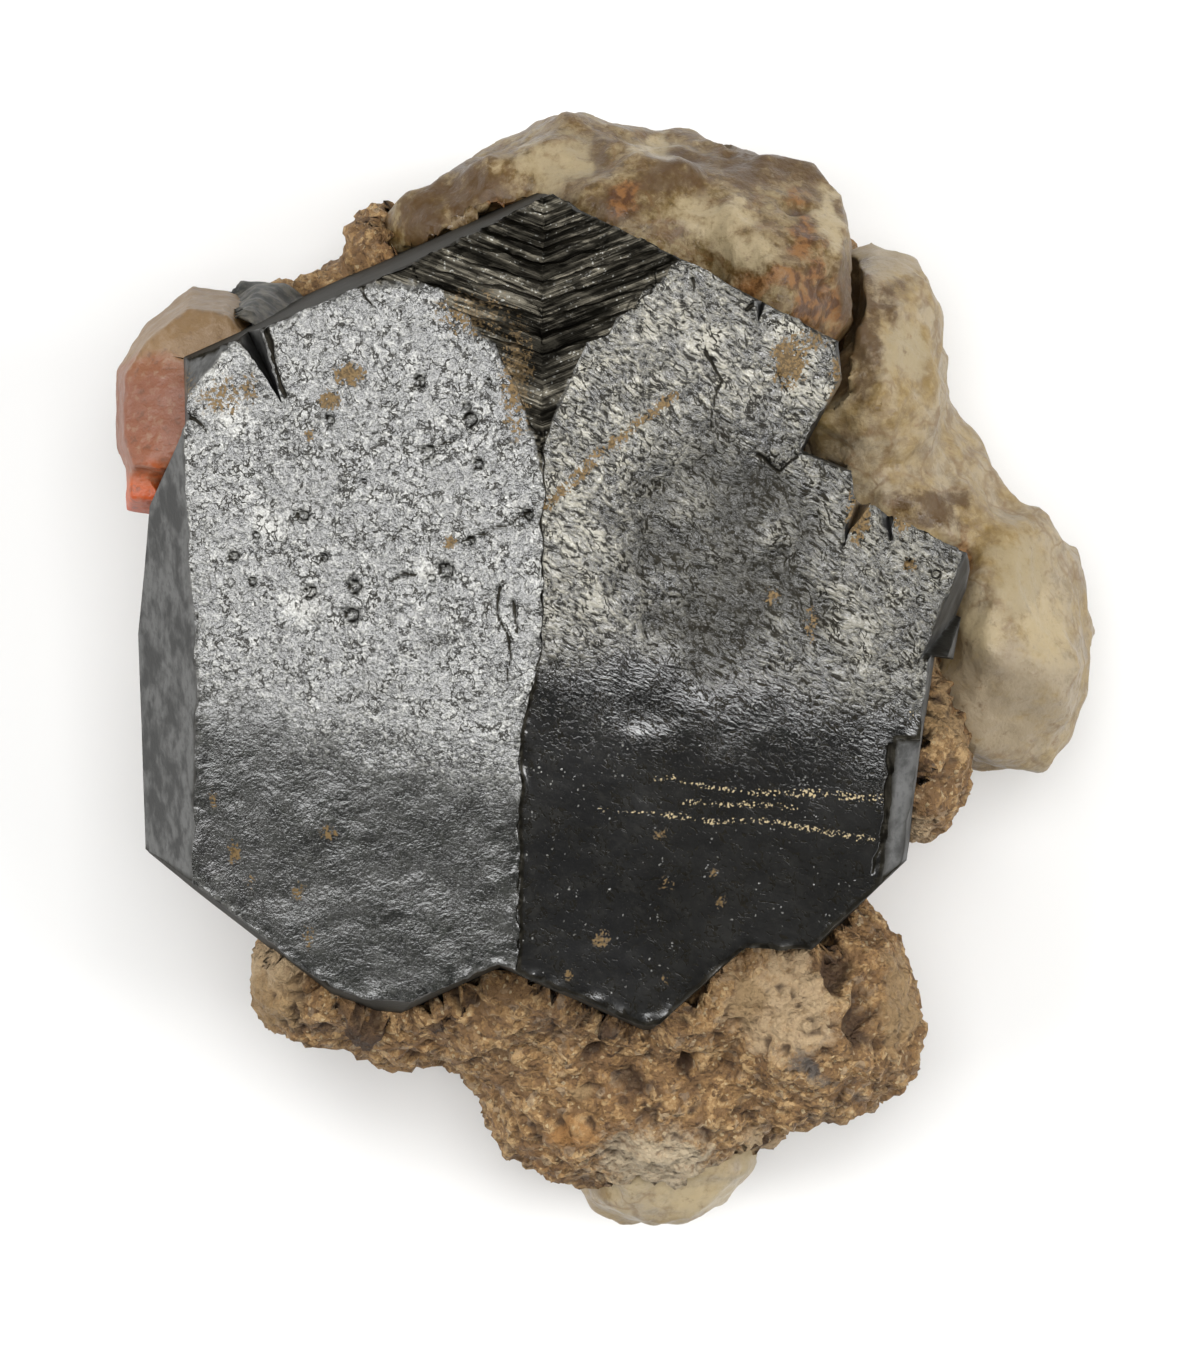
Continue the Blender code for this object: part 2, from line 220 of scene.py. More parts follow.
# Patches on the stone and the quartz: x, y, radius along x, radius along y.
PATCHES = {
    "pale": (
        (-1.5, 15.7, 1.3, 0.8),
        (9.2, 9.9, 0.8, 0.8),
        (12.8, 3.0, 1.0, 1.4),
        (4.5, -15.3, 0.8, 1.0),
        (5.3, -10.4, 1.7, 1.5),
        (-11.0, -8.1, 0.9, 0.5),
        (9.6, -6.2, 0.9, 1.8),
        (-10.6, -9.3, 1.0, 0.8),
    ),
    "milk": (
        (1.4, 16.1, 0.6, 0.5),
        (3.3, 14.0, 1.1, 0.7),
        (4.2, 12.9, 1.1, 0.6),
        (6.8, 13.9, 0.35, 1.2),
        (10.9, 1.0, 1.3, 1.2),
        (13.6, 1.2, 0.7, 1.4),
        (1.5, -15.3, 1.9, 1.0),
        (2.9, -16.5, 1.6, 0.7),
    ),
    "brown": (
        (-5.9, 14.2, 0.8, 1.0),
        (-4.4, 15.1, 1.3, 0.8),
        (-0.3, 16.0, 0.4, 0.7),
        (0.2, 14.3, 0.9, 0.7),
        (2.0, 15.3, 1.1, 0.8),
        (4.4, 15.6, 1.4, 0.7),
        (6.0, 15.7, 1.0, 0.6),
        (7.6, 10.6, 0.7, 2.6),
        (8.7, 11.5, 0.4, 0.9),
        (10.1, 5.0, 1.2, 0.7),
    ),
    "rust": (
        (-3.2, 13.9, 0.5, 0.7),
        (0.5, 14.6, 0.5, 0.5),
        (5.0, 12.0, 1.2, 0.4),
        (6.0, 13.6, 0.4, 1.3),
        (6.5, 11.3, 0.7, 1.0),
        (10.9, 3.4, 0.4, 0.9),
        (9.3, -0.8, 0.5, 1.6),
        (-1.1, -14.2, 0.8, 0.5),
    ),
    "grey": (
        (8.6, 13.0, 1.2, 0.9),
        (12.2, -0.9, 2.4, 1.7),
        (4.2, -10.0, 0.5, 0.9),
        (8.9, -10.2, 0.6, 1.6),
        (-0.9, -12.8, 0.4, 0.3),
        (-10.5, -10.5, 1.1, 0.9),
    ),
    "dark": (
        (6.16, -12.0, 0.50, 0.66),
    ),
    "hole": (
        (7.0, -9.1, 0.35, 0.7),
        (7.8, -10.5, 0.5, 0.9),
        (0.6, -12.5, 0.5, 0.4),
        (-7.4, -10.7, 0.6, 0.3),
        (-5.2, -10.2, 1.1, 0.35),
        (-0.6, -12.0, 0.5, 0.3),
        (2.4, -12.2, 0.3, 0.5),
    ),
}


# ---------------------------------------------------------------- settings


def length(name, description, default_mm):
    return FloatProperty(
        name=name,
        description=description,
        default=default_mm * MM,
        unit="LENGTH",
        precision=5,
    )


def colour(name, description, *rgb):
    return FloatVectorProperty(
        name=name, description=description, default=rgb, subtype="COLOR", size=3
    )


def power(name, description, watts):
    return FloatProperty(
        name=name, description=description, default=watts, min=0, unit="POWER"
    )


class CrystalSettings(bpy.types.PropertyGroup):
    cell: length("Cell", "Spacing of the cuts that even out a flat face", 0.95)
    swell: length("Swell", "Height of the broad waves of a face", 0.07)
    lump: length("Lump", "Height of the small lumps of the etched face", 0.028)
    ripple: length("Ripple", "Height of the growth ripples", 0.034)
    chip: length("Chip", "Depth of the chips along the edges", 0.20)
    pit: length("Pit", "Depth of the etch pits", 0.20)
    # Etched is also the colour of the painted glints and edge highlights.
    bright: colour("Etched", "Pale flecks of the etched face", 0.425, 0.42, 0.385)
    wheat: colour("Wheat", "Warm grey of the folded face", 0.178, 0.168, 0.134)
    grey: colour("Grey", "Main grey of the etched face", 0.095, 0.095, 0.088)
    # Slate is also the painted shade low on the left face and in the right face's hollow;
    # Black, low on the right face.
    slate: colour("Slate", "Smoother lower part of the left face", 0.015, 0.016, 0.013)
    black: colour("Black", "Clean dark crystal", 0.0035, 0.0035, 0.0035)
    # Umber, darkened, is also the painted shade of the side faces, the rims and the
    # hollows.
    umber: colour("Umber", "Brownish ridges of the notch", 0.108, 0.098, 0.076)
    flank: colour("Flank", "Smooth side faces", 0.20, 0.20, 0.196)
    stain: colour("Stain", "Iron stain", 0.225, 0.145, 0.06)
    cream: colour("Cream", "Grains stuck to the face", 0.58, 0.46, 0.26)


class StoneSettings(bpy.types.PropertyGroup):
    voxel: length("Voxel", "Fineness of the stone's mesh", 0.19)
    grain: length("Grain", "Size of a grain", 0.42)
    relief: length("Relief", "How far the grains stand out", 0.10)
    seat: length("Seat", "How far the stone reaches into a crystal", 0.12)
    tuck: length("Tuck", "How far the tip beside the quartz is drawn in", 0.7)
    pale: colour("Pale", "Freshest grains", 0.53, 0.35, 0.165)
    brown: colour("Brown", "Main brown", 0.29, 0.165, 0.062)
    rust: colour("Rust", "Redder stain", 0.27, 0.135, 0.042)
    # Dark is also the painted shade of pits, crevices and seams.
    dark: colour("Dark", "Pits and crevices", 0.045, 0.022, 0.010)
    grey: colour("Grey", "Grey grains", 0.20, 0.175, 0.145)
    fresh: colour("Fresh", "Palest patches", 0.48, 0.35, 0.205)
    milk: colour("Milk", "Whitish patches", 0.50, 0.41, 0.28)
    slate: colour("Slate", "Dark grey patches", 0.075, 0.070, 0.066)


class QuartzSettings(bpy.types.PropertyGroup):
    scoop: length("Scoop", "Size of a scooped break", 2.3)
    relief: length("Relief", "Height of the ridges between the scoops", 0.16)
    clearness: FloatProperty(
        name="Clearness",
        description="Share of light let through",
        default=0.25,
        min=0,
        max=1,
        subtype="FACTOR",
    )
    honey: colour("Honey", "Stained quartz", 0.165, 0.095, 0.028)
    pale: colour("Pale", "Cloudy quartz", 0.35, 0.238, 0.092)
    milk: colour("Milk", "Whitest quartz", 0.56, 0.45, 0.27)
    smoke: colour("Smoke", "Greyest quartz", 0.43, 0.35, 0.24)
    crust: colour("Crust", "Brown crust", 0.12, 0.062, 0.020)
    brown: colour("Brown", "Brown patches", 0.095, 0.050, 0.018)
    rust: colour("Rust", "Rusty patches", 0.30, 0.13, 0.035)
    deep_rust: colour("Deep Rust", "Darkest of the rust", 0.10, 0.04, 0.014)


class StageSettings(bpy.types.PropertyGroup):
    floor: colour("Floor", "Colour of the floor", 0.86, 0.86, 0.85)
    key: power("Key", "Power of the key light", 1.2)
    fill: power("Fill", "Power of the fill light", 1.35)
    top: power("Top", "Power of the overhead light", 2.2)
    rim: power("Rim", "Power of the back light", 0.35)
    sky: FloatProperty(name="Sky", description="Strength of the room", default=0.07)
    distance: length("Distance", "Camera to the crystal", 270)
    field: length("Field", "Height of the view at the crystal", 40.8)


# ---------------------------------------------------------------- shader maths


class Value:
    """A node's output that can be used in sums."""

    def __init__(self, wiring, socket):
        self.wiring, self.socket = wiring, socket

    def _math(self, operation, *values):
        return self.wiring.math(operation, *values)

    def __add__(self, other):
        return self._math("ADD", self, other)

    __radd__ = __add__

    def __sub__(self, other):
        return self._math("SUBTRACT", self, other)

    def __rsub__(self, other):
        return self._math("SUBTRACT", other, self)

    def __mul__(self, other):
        return self._math("MULTIPLY", self, other)

    __rmul__ = __mul__

    def __truediv__(self, other):
        return self._math("DIVIDE", self, other)


class Wiring:
    """One material and the nodes in it."""

    def __init__(self, name):
        self.material = bpy.data.materials.new(name)
        self.material.use_nodes = True
        self.tree = self.material.node_tree
        self.tree.nodes.clear()
        self.place = self.node("ShaderNodeTexCoord", out="Object")

    def node(self, kind, settings=(), inputs=(), out=0):
        made = self.tree.nodes.new(kind)
        for name, value in dict(settings).items():
            if name == "stops":
                ramp = made.color_ramp
                while len(ramp.elements) < len(value):
                    ramp.elements.new(1)
                for element, (position, shade) in zip(ramp.elements, value):
                    element.position = position
                    element.color = (*shade, 1)
            else:
                setattr(made, name, value)
        for name, value in dict(inputs).items():
            if isinstance(value, Value):
                self.tree.links.new(value.socket, made.inputs[name])
            else:
                made.inputs[name].default_value = value
        return Value(self, made.outputs[out]) if made.outputs else None

    def math(self, operation, *values, clamp=False):
        return self.node(
            "ShaderNodeMath",
            {"operation": operation, "use_clamp": clamp},
            dict(enumerate(values)),
        )

    def vector(self, operation, *values):
        return self.node(
            "ShaderNodeVectorMath", {"operation": operation}, dict(enumerate(values))
        )

    def clamp(self, value):
        return self.math("ADD", value, 0, clamp=True)

    def mask(self, value, low, high):
        """0 below low, 1 above high, and smooth between."""
        return self.node(
            "ShaderNodeMapRange",
            {"interpolation_type": "SMOOTHSTEP"},
            {"Value": value, "From Min": low, "From Max": high},
        )

    def attribute(self, name):
        return self.node("ShaderNodeAttribute", {"attribute_name": name}, out="Fac")

    def noise(self, size_mm, detail=2, rough=0.5, place=None, out=0):
        return self.node(
            "ShaderNodeTexNoise",
            inputs={
                "Vector": place or self.place,
                "Scale": 1 / (size_mm * MM),
                "Detail": detail,
                "Roughness": rough,
            },
            out=out,
        )

    def cells(self, size_mm, feature="F1", out="Distance", place=None):
        return self.node(
            "ShaderNodeTexVoronoi",
            {"feature": feature},
            {"Vector": place or self.place, "Scale": 1 / (size_mm * MM)},
            out,
        )

    def red(self, shade):
        """One channel of a colour, as a number."""
        return self.node("ShaderNodeSeparateColor", inputs={0: shade}, out=0)

    def warped(self, size_mm, reach_mm, place=None):
        """Object coordinates pushed about by noise."""
        drift = self.noise(size_mm, 2, 0.5, place, out="Color")
        centred = self.vector("SUBTRACT", drift, (0.5, 0.5, 0.5))
        push = self.vector("MULTIPLY", centred, (4 * reach_mm * MM,) * 3)
        return self.vector("ADD", place or self.place, push)

    def stretched(self, turn, stretch, place):
        """Coordinates drawn out along a direction turned about z from x."""
        return self.node(
            "ShaderNodeMapping",
            {"vector_type": "TEXTURE"},
            {
                "Vector": place,
                "Rotation": (0, 0, math.radians(turn)),
                "Scale": (stretch, 1, 1),
            },
        )

    def mix(self, mask, under, over):
        """The colour over laid on the colour under, where mask is 1."""
        under, over = (
            shade if isinstance(shade, Value) else (*shade, 1)
            for shade in (under, over)
        )
        return self.node(
            "ShaderNodeMix", {"data_type": "RGBA"}, {0: mask, 6: under, 7: over}, 2
        )

    def coats(self, shade, *coats):
        """A shade with each coat, (mask, colour), laid over it in turn."""
        for mask, over in coats:
            shade = self.mix(mask, shade, over)
        return shade

    def ramp(self, value, *stops):
        return self.node("ShaderNodeValToRGB", {"stops": stops}, {"Fac": value})

    def bump(self, height, depth_mm):
        return self.node(
            "ShaderNodeBump",
            inputs={"Height": height, "Distance": depth_mm * MM, "Strength": 1.0},
        )

    def principled(self, **sockets):
        return self.node(
            "ShaderNodeBsdfPrincipled",
            inputs={name.replace("_", " "): value for name, value in sockets.items()},
        )

    def surface(self, shader):
        self.node("ShaderNodeOutputMaterial", inputs={"Surface": shader})
        return self.material

    def finish(self, **sockets):
        return self.surface(self.principled(**sockets))


def scaled(shade, factor):
    return [value * factor for value in shade]


def chevrons(w):
    """Straight lines that fall to the notch's middle from both sides."""
    x, y = (w.node("ShaderNodeSeparateXYZ", inputs={0: w.place}, out=i) for i in "XY")
    fall = NOTCH_SLOPE * w.math("ABSOLUTE", x - NOTCH_X * MM)
    place = w.node("ShaderNodeCombineXYZ", inputs={0: y - fall, 1: 0.05 * x})
    return w.noise(0.26, 4, 0.66, w.warped(0.9, 0.02, place))


def skin_values(w):
    """The marks of the twin's skin, and the noises and masks that its faces share."""
    skin = SimpleNamespace(**{name: w.attribute(name) for name in TWIN_MARKS})
    skin.grit = w.noise(0.09, 2, 0.6)
    skin.fleck = w.noise(0.22, 3, 0.62)
    skin.medium = w.noise(0.62, 4, 0.6)
    skin.patch = w.noise(1.9, 3, 0.55)
    skin.speck = w.red(w.cells(0.055, out="Color"))

    worm = w.math("ABSOLUTE", w.noise(0.42, 3, 0.6, w.warped(0.5, 0.10)) - 0.5)
    skin.lines = (1 - w.mask(worm, 0.006, 0.034)) * w.mask(skin.medium, 0.42, 0.56)
    uneven, blotchy = skin.medium - 0.5, skin.patch - 0.5
    # The left face's smoother lower part, which is also painted in shade below the bend.
    skin.smooth = w.mask(skin.deep + 0.9 * uneven + 0.5 * blotchy, 0.15, 0.75)
    # Where the right face is painted nearly black as shade below the bend, over bare dark
    # crystal.
    skin.dark = w.mask(skin.deep + 0.6 * uneven, 0.03, 0.52)
    few = w.mask(w.noise(0.7, 3, 0.65), 0.45, 0.75)
    # Painted glints: pale specks scattered over the dark lower part of the right face.
    glint = w.mask(skin.speck + 0.06 * few - 0.02 * skin.deep, 0.985, 1.0)
    skin.sparkle = glint * skin.dark
    ragged = skin.stain + 2.6 * (skin.fleck - 0.5) + 2.2 * (skin.grit - 0.5)
    skin.blot = w.mask(ragged, 0.42, 0.72) * w.mask(skin.stain, 0.05, 0.35)
    return skin


def etched_face(w, skin, settings):
    """Speckled grey, smoother low down and painted in shade there: its colour, height and
    dullness.
    """
    speckle = 0.32 * skin.fleck + 0.38 * skin.grit + 0.2 * skin.medium
    etched = w.ramp(
        w.clamp(speckle + 0.1 * skin.patch + 0.1 * skin.cluster),
        (0.38, settings.black),
        (0.45, scaled(settings.grey, 0.6)),
        (0.51, scaled(settings.grey, 1.6)),
        (0.60, settings.bright),
    )
    slate = w.mix(
        w.mask(0.6 * skin.medium + 0.4 * skin.fleck, 0.40, 0.60),
        scaled(settings.slate, 0.4),
        scaled(settings.slate, 1.3),
    )
    shade = w.coats(
        etched,
        # Slate low down is painted shade below the bend, where the face is smoother too.
        (skin.smooth * 0.93, slate),
        (w.mask(skin.patch, 0.50, 0.66) * 0.35, scaled(settings.grey, 0.6)),
        (skin.lines * (1 - 0.6 * skin.smooth) * 0.9, settings.black),
    )
    rough = 0.8 * skin.fleck + 0.6 * skin.grit - 0.45 * skin.lines
    wave = w.noise(0.5, 4, 0.62, w.stretched(24, 2.2, w.warped(1.2, 0.25)))
    height = rough * (1 - 0.55 * skin.smooth) + 0.9 * skin.smooth * wave
    # Dullness: the dark lines, and a little painted shade low down.
    return shade, height, skin.lines * (0.8 - 0.4 * skin.smooth) + 0.12 * skin.smooth


def folded_face(w, skin, settings):
    """Wrinkled, and nearly black low down, partly bare dark crystal and partly painted
    shade: its colour, height and dullness.
    """
    fold = w.noise(0.38, 3, 0.6, w.stretched(-50, 2.6, w.warped(0.9, 0.20)))
    grain = w.noise(0.11, 3, 0.55, w.stretched(-27, 8.0, w.warped(0.8, 0.10)))
    crease = 1 - w.mask(w.math("ABSOLUTE", fold - 0.5), 0.006, 0.030)
    torn = w.mask(skin.medium, 0.44, 0.56)
    seam = w.clamp(crease * torn + 1 - w.mask(grain, 0.33, 0.41))
    tone = 0.10 * fold + 0.35 * grain + 0.1 * skin.grit + 0.25 * skin.medium
    wrinkled = w.ramp(
        w.clamp(tone + 0.2 * skin.patch),
        (0.40, settings.black),
        (0.46, scaled(settings.wheat, 0.3)),
        (0.52, scaled(settings.wheat, 0.9)),
        (0.57, scaled(settings.wheat, 2.1)),
    )
    shade = w.coats(
        wrinkled,
        # Painted shade over the right face's hollow.
        (skin.gloom * 0.75, scaled(settings.slate, 0.6)),
        (seam * 0.95, settings.black),
        # Nearly black low down: painted shade below the bend, over bare dark crystal.
        (skin.dark * 0.97, settings.black),
        # Painted glints in the dark lower part.
        (skin.sparkle * 0.5, settings.bright),
    )
    folds = 0.8 * fold + 1.2 * grain + 0.25 * skin.grit - 0.5 * seam
    height = 1.4 * folds * (1 - 0.97 * skin.deep)
    return shade, height, 0.85 * seam + 0.5 * skin.gloom


def front_shader(w, skin, settings, rust):
    """Both front faces, and where cracks, stains and painted shade keep them from shining.
    """
    etched, etched_height, etched_dull = etched_face(w, skin, settings)
    folded, folded_height, folded_dull = folded_face(w, skin, settings)
    # Painted highlights along the sharp rims: full on the left face, half on the right
    # face, none where it is painted dark.
    edge_highlight_share = skin.left + 0.5 * skin.right * (1 - skin.dark)
    edge = w.clamp(skin.rim * w.mask(skin.fleck, 0.44, 0.58) * edge_highlight_share)
    crumbs = w.mask(skin.speck + skin.streak + 0.8 * (skin.fleck - 0.5), 1.68, 1.76)
    cut = w.mask(skin.groove, 0.25, 0.75)
    base = w.coats(
        etched,
        (skin.right, folded),
        (edge * 0.4, settings.bright),
        (skin.blot * 0.9, rust),
        (crumbs, settings.cream),
        (cut, w.mix(skin.blot, settings.black, scaled(settings.stain, 0.8))),
    )
    rough = 0.17 + 0.06 * skin.patch + 0.06 * skin.left * skin.smooth
    height = skin.left * etched_height + skin.right * folded_height
    shader = w.principled(
        Base_Color=base,
        Roughness=rough + 0.5 * skin.blot,
        IOR=2.0,
        Normal=w.bump(height + 0.5 * crumbs + 0.4 * skin.sparkle, 0.052),
    )
    dull = skin.left * etched_dull + skin.right * folded_dull
    # Painted shade on the lower rims of the right face, where the dark side shader takes
    # over.
    brink = w.mask(skin.rim, 0.25, 0.75) * skin.right * skin.dark
    return shader, w.clamp(dull + cut + skin.blot + brink)


def side_shader(w, skin, settings, rust, fronts):
    """The side faces and the notch, close to metal in lustre."""
    thread = chevrons(w)
    carved = w.coats(
        scaled(settings.umber, 0.12),
        (w.mask(thread, 0.44, 0.62), settings.umber),
        # Painted glints on the notch's chevrons.
        (w.mask(skin.speck + 0.5 * thread, 1.20, 1.26) * 0.5, settings.bright),
    )
    mottled = w.mask(0.5 * skin.patch + 0.5 * skin.medium, 0.42, 0.58)
    worn = skin.blot * (0.8 - 0.4 * skin.notch)
    base = w.coats(
        scaled(settings.flank, 0.55),
        (mottled, scaled(settings.flank, 1.1)),
        (w.mask(skin.fleck, 0.50, 0.66) * 0.5, scaled(settings.flank, 0.6)),
        # Painted shade on side faces turned along y, and near the rims.
        (w.clamp(0.85 * skin.gloom + 0.7 * skin.rim), scaled(settings.umber, 0.3)),
        (skin.notch, carved),
        # Dark where a front gives way to this shader: its cracks, seams and stains, and
        # its painted shade.
        (fronts, scaled(settings.umber, 0.2)),
        (worn, rust),
    )
    height = skin.medium + 0.2 * skin.fleck + 1.2 * skin.notch * thread
    return w.principled(
        Base_Color=base,
        Roughness=0.46 + 0.12 * skin.medium - 0.15 * skin.notch,
        Metallic=1 - worn,
        Specular_Tint=(0.45, 0.45, 0.45, 1),
        Normal=w.bump(height, 0.04),
    )


def cassiterite_material(settings):
    """Etched grey on the left, folded and darker on the right, with painted shade low
    down, dull at the sides.
    """
    w = Wiring("cassiterite")
    skin = skin_values(w)
    rust = w.mix(
        w.mask(skin.grit, 0.42, 0.60), scaled(settings.stain, 0.45), settings.stain
    )
    fronts = w.clamp(skin.left + skin.right)
    front, hollow = front_shader(w, skin, settings, rust)
    side = side_shader(w, skin, settings, rust, fronts)
    shining = fronts * (1 - hollow)
    both = w.node("ShaderNodeMixShader", inputs={0: shining, 1: side, 2: front})
    return w.surface(both)


def toned(w, base, **tones):
    """Lays the patches of each tone on a stone's colour, their borders broken up."""
    broken = 2.6 * (w.noise(0.6, 4, 0.72) - 0.5)
    masks = [w.mask(w.attribute(name) + broken, 0.15, 1.05) * 0.85 for name in tones]
    return w.coats(base, *zip(masks, tones.values()))


def quartz_material(name, settings, stone, tint, cloud, dirt):
    """Broken quartz: waxy and clear enough to glow, with stain in its hollows and painted
    shade at its seams.
    """
    w = Wiring(name)
    cavity = w.attribute("cavity")
    patch = w.noise(1.7, 4, 0.6, w.warped(2.0, 0.3))
    fine = w.noise(0.35, 4, 0.62)
    veins = w.cells(1.5, "DISTANCE_TO_EDGE", place=w.warped(0.8, 0.22))
    mottle = w.noise(0.75, 5, 0.72, w.warped(0.6, 0.3))
    threads = (1 - w.mask(veins, 0.0, 0.07)) * w.mask(patch, 0.42, 0.55)
    body = w.coats(
        tint,
        (w.mask(patch, 0.38, 0.62), cloud),
        (w.mask(fine, 0.42, 0.66) * 0.4, settings.milk),
        (w.mask(1 - fine, 0.50, 0.68) * dirt, scaled(tint, 0.45)),
        (w.mask(mottle, 0.48, 0.60) * dirt, settings.crust),
        (w.mask(1 - mottle, 0.56, 0.70) * 0.5, settings.milk),
        (threads * 0.45, scaled(stone.rust, 0.7)),
    )
    body = toned(
        w,
        body,
        pale=scaled(settings.milk, 0.8),
        milk=settings.milk,
        grey=settings.smoke,
        brown=settings.brown,
        rust=w.mix(w.mask(fine, 0.4, 0.6), settings.deep_rust, settings.rust),
    )
    # Darkens the stained hollows, and paints shade at the seams and in holes.
    body = w.mix(w.mask(cavity, 0.35, 0.95) * 0.75, body, stone.dark)
    return w.finish(
        Base_Color=body,
        Roughness=0.34 + 0.3 * w.mask(fine, 0.4, 0.7),
        IOR=1.54,
        Specular_IOR_Level=0.25,
        Transmission_Weight=settings.clearness,
        Normal=w.bump(0.7 * fine + 0.3 * w.noise(0.12, 3), 0.07),
    )


def greisen_material(stone, quartz):
    """Brown stone of small grains, rusty, with painted shade in its pits and crevices."""
    w = Wiring("greisen")
    cavity, grain = w.attribute("cavity"), w.attribute("grain")
    patch = w.noise(2.4, 4, 0.6)
    fine = w.noise(0.22, 4, 0.66)
    bent = w.warped(0.3, 0.07)
    crumb = w.cells(0.24, place=bent)
    tone = w.red(w.cells(0.24, out="Color", place=bent))
    tiny = w.red(w.cells(0.10, out="Color"))
    mottle = 0.3 * grain + 0.4 * tone + 0.3 * tiny
    base = w.coats(
        stone.brown,
        (w.mask(patch, 0.46, 0.70) * 0.6, stone.rust),
        (w.mask(mottle, 0.40, 0.80) * 0.9, stone.pale),
        (w.mask(1 - mottle, 0.55, 0.80) * 0.5, scaled(stone.dark, 2.2)),
        (w.mask(tone, 0.92, 0.96) * 0.4, stone.grey),
        (w.mask(fine, 0.53, 0.66) * 0.75, scaled(stone.dark, 1.5)),
        (w.mask(tiny, 0.95, 0.98) * 0.5, quartz.milk),
    )
    base = toned(
        w,
        base,
        pale=stone.fresh,
        milk=stone.milk,
        grey=scaled(stone.pale, 0.6),
        brown=scaled(stone.brown, 0.6),
        rust=scaled(stone.rust, 1.3),
        dark=stone.slate,
    )
    # Painted shade in crevices, dents and holes, and along the seams with the crystals.
    base = w.mix(w.mask(cavity, 0.30, 1.0) * 0.85, base, stone.dark)
    height = 1.2 * fine - 0.9 * crumb + 0.35 * tiny
    return w.finish(
        Base_Color=base,
        Roughness=0.62 + 0.25 * fine,
        IOR=1.5,
        Normal=w.bump(height, 0.13),
    )


def orange_material():
    """From tan through dull red to a bright orange tip."""
    w = Wiring("orange")
    along = w.node("ShaderNodeSeparateXYZ", inputs={0: w.place}, out="Y")
    wobble = w.noise(1.3, 3, 0.55)
    fine = w.noise(0.3, 4, 0.62)
    level = along / MM + 1.5 * (wobble - 0.5)
    shade = w.ramp(
        w.clamp((level - ORANGE_TIP) / ORANGE_LENGTH),
        (0.00, (0.60, 0.085, 0.010)),
        (0.13, (0.62, 0.120, 0.016)),
        (0.22, (0.33, 0.105, 0.042)),
        (0.42, (0.28, 0.095, 0.042)),
        (0.56, (0.29, 0.105, 0.052)),
        (0.64, (0.30, 0.110, 0.036)),
        (0.70, (0.30, 0.175, 0.070)),
        (1.00, (0.24, 0.145, 0.055)),
    )
    shade = w.coats(
        shade,
        (w.mask(fine, 0.52, 0.70) * 0.4, (0.44, 0.31, 0.20)),
        (w.mask(1 - fine, 0.55, 0.70) * 0.5, (0.12, 0.06, 0.03)),
    )
    return w.finish(
        Base_Color=shade,
        Roughness=0.38 + 0.2 * wobble,
        IOR=1.6,
        Transmission_Weight=0.25,
        Normal=w.bump(fine, 0.06),
    )


def little_material(settings):
    """The small crystal: dull olive grey."""
    w = Wiring("small_cassiterite")
    mottled = w.noise(0.5, 4, 0.62)
    shade = w.mix(w.mask(mottled, 0.40, 0.62), settings.slate, settings.umber)
    return w.finish(
        Base_Color=shade,
        Roughness=0.5 + 0.2 * mottled,
        IOR=1.6,
        Normal=w.bump(mottled, 0.06),
    )


def plain_material(name, rgb, roughness):
    w = Wiring(name)
    shade = w.mix(w.noise(30, 2) * 0.06, rgb, scaled(rgb, 0.95))
    return w.finish(Base_Color=shade, Roughness=roughness)


# ---------------------------------------------------------------- mesh helpers


def smoothstep(value, low, high):
    t = min(1.0, max(0.0, (value - low) / (high - low)))
    return t * t * (3 - 2 * t)


def merged_copy(node):
    """A bmesh of a CAD node, its loose triangles joined at their corners."""
    shape = bmesh.new()
    shape.from_mesh(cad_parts[node].data)
    bmesh.ops.remove_doubles(shape, verts=shape.verts, dist=0.002 * MM)
    bmesh.ops.dissolve_degenerate(shape, edges=shape.edges, dist=0.001 * MM)
    return shape


def add_object(name, shape):
    mesh = bpy.data.meshes.new(name)
    shape.to_mesh(mesh)
    shape.free()
    obj = bpy.data.objects.new(name, mesh)
    bpy.context.scene.collection.objects.link(obj)
    return obj


def apply_modifiers(obj):
    graph = bpy.context.evaluated_depsgraph_get()
    baked = bpy.data.meshes.new_from_object(obj.evaluated_get(graph))
    obj.modifiers.clear()
    obj.data = baked


def dress(obj, node, material):
    """Puts a finished piece in the place of its CAD node."""
    obj.data.materials.clear()
    obj.data.materials.append(material)
    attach(obj, BODY)
    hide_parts(node)


def move_along_normals(shape, height):
    """Moves every vertex along its normal by height(place in mm, vertex), in mm."""
    shape.normal_update()
    moves = [
        (vert, vert.normal * (height(vert.co / MM, vert) * MM)) for vert in shape.verts
    ]
    for vert, move in moves:
        vert.co += move


def tree_of(*objects):
    """One search tree round the faces of several finished pieces."""
    verts, faces = [], []
    for obj in objects:
        start = len(verts)
        verts += [vert.co.copy() for vert in obj.data.vertices]
        faces += [[start + i for i in face.vertices] for face in obj.data.polygons]
    return BVHTree.FromPolygons(verts, faces)


def points_along(corners, spacing):
    """Evenly spaced points of a polyline, each with how far along it lies, 0 to 1."""
    corners = [Vector(corner) for corner in corners]
    spans = [(b - a).length for a, b in zip(corners, corners[1:])]
    whole, done, points = sum(spans), 0.0, []
    for start, end, span in zip(corners, corners[1:], spans):
        count = max(1, int(span / spacing))
        for share in (i / count for i in range(count + 1)):
            points.append((start.lerp(end, share), (done + span * share) / whole))
        done += span
    return points


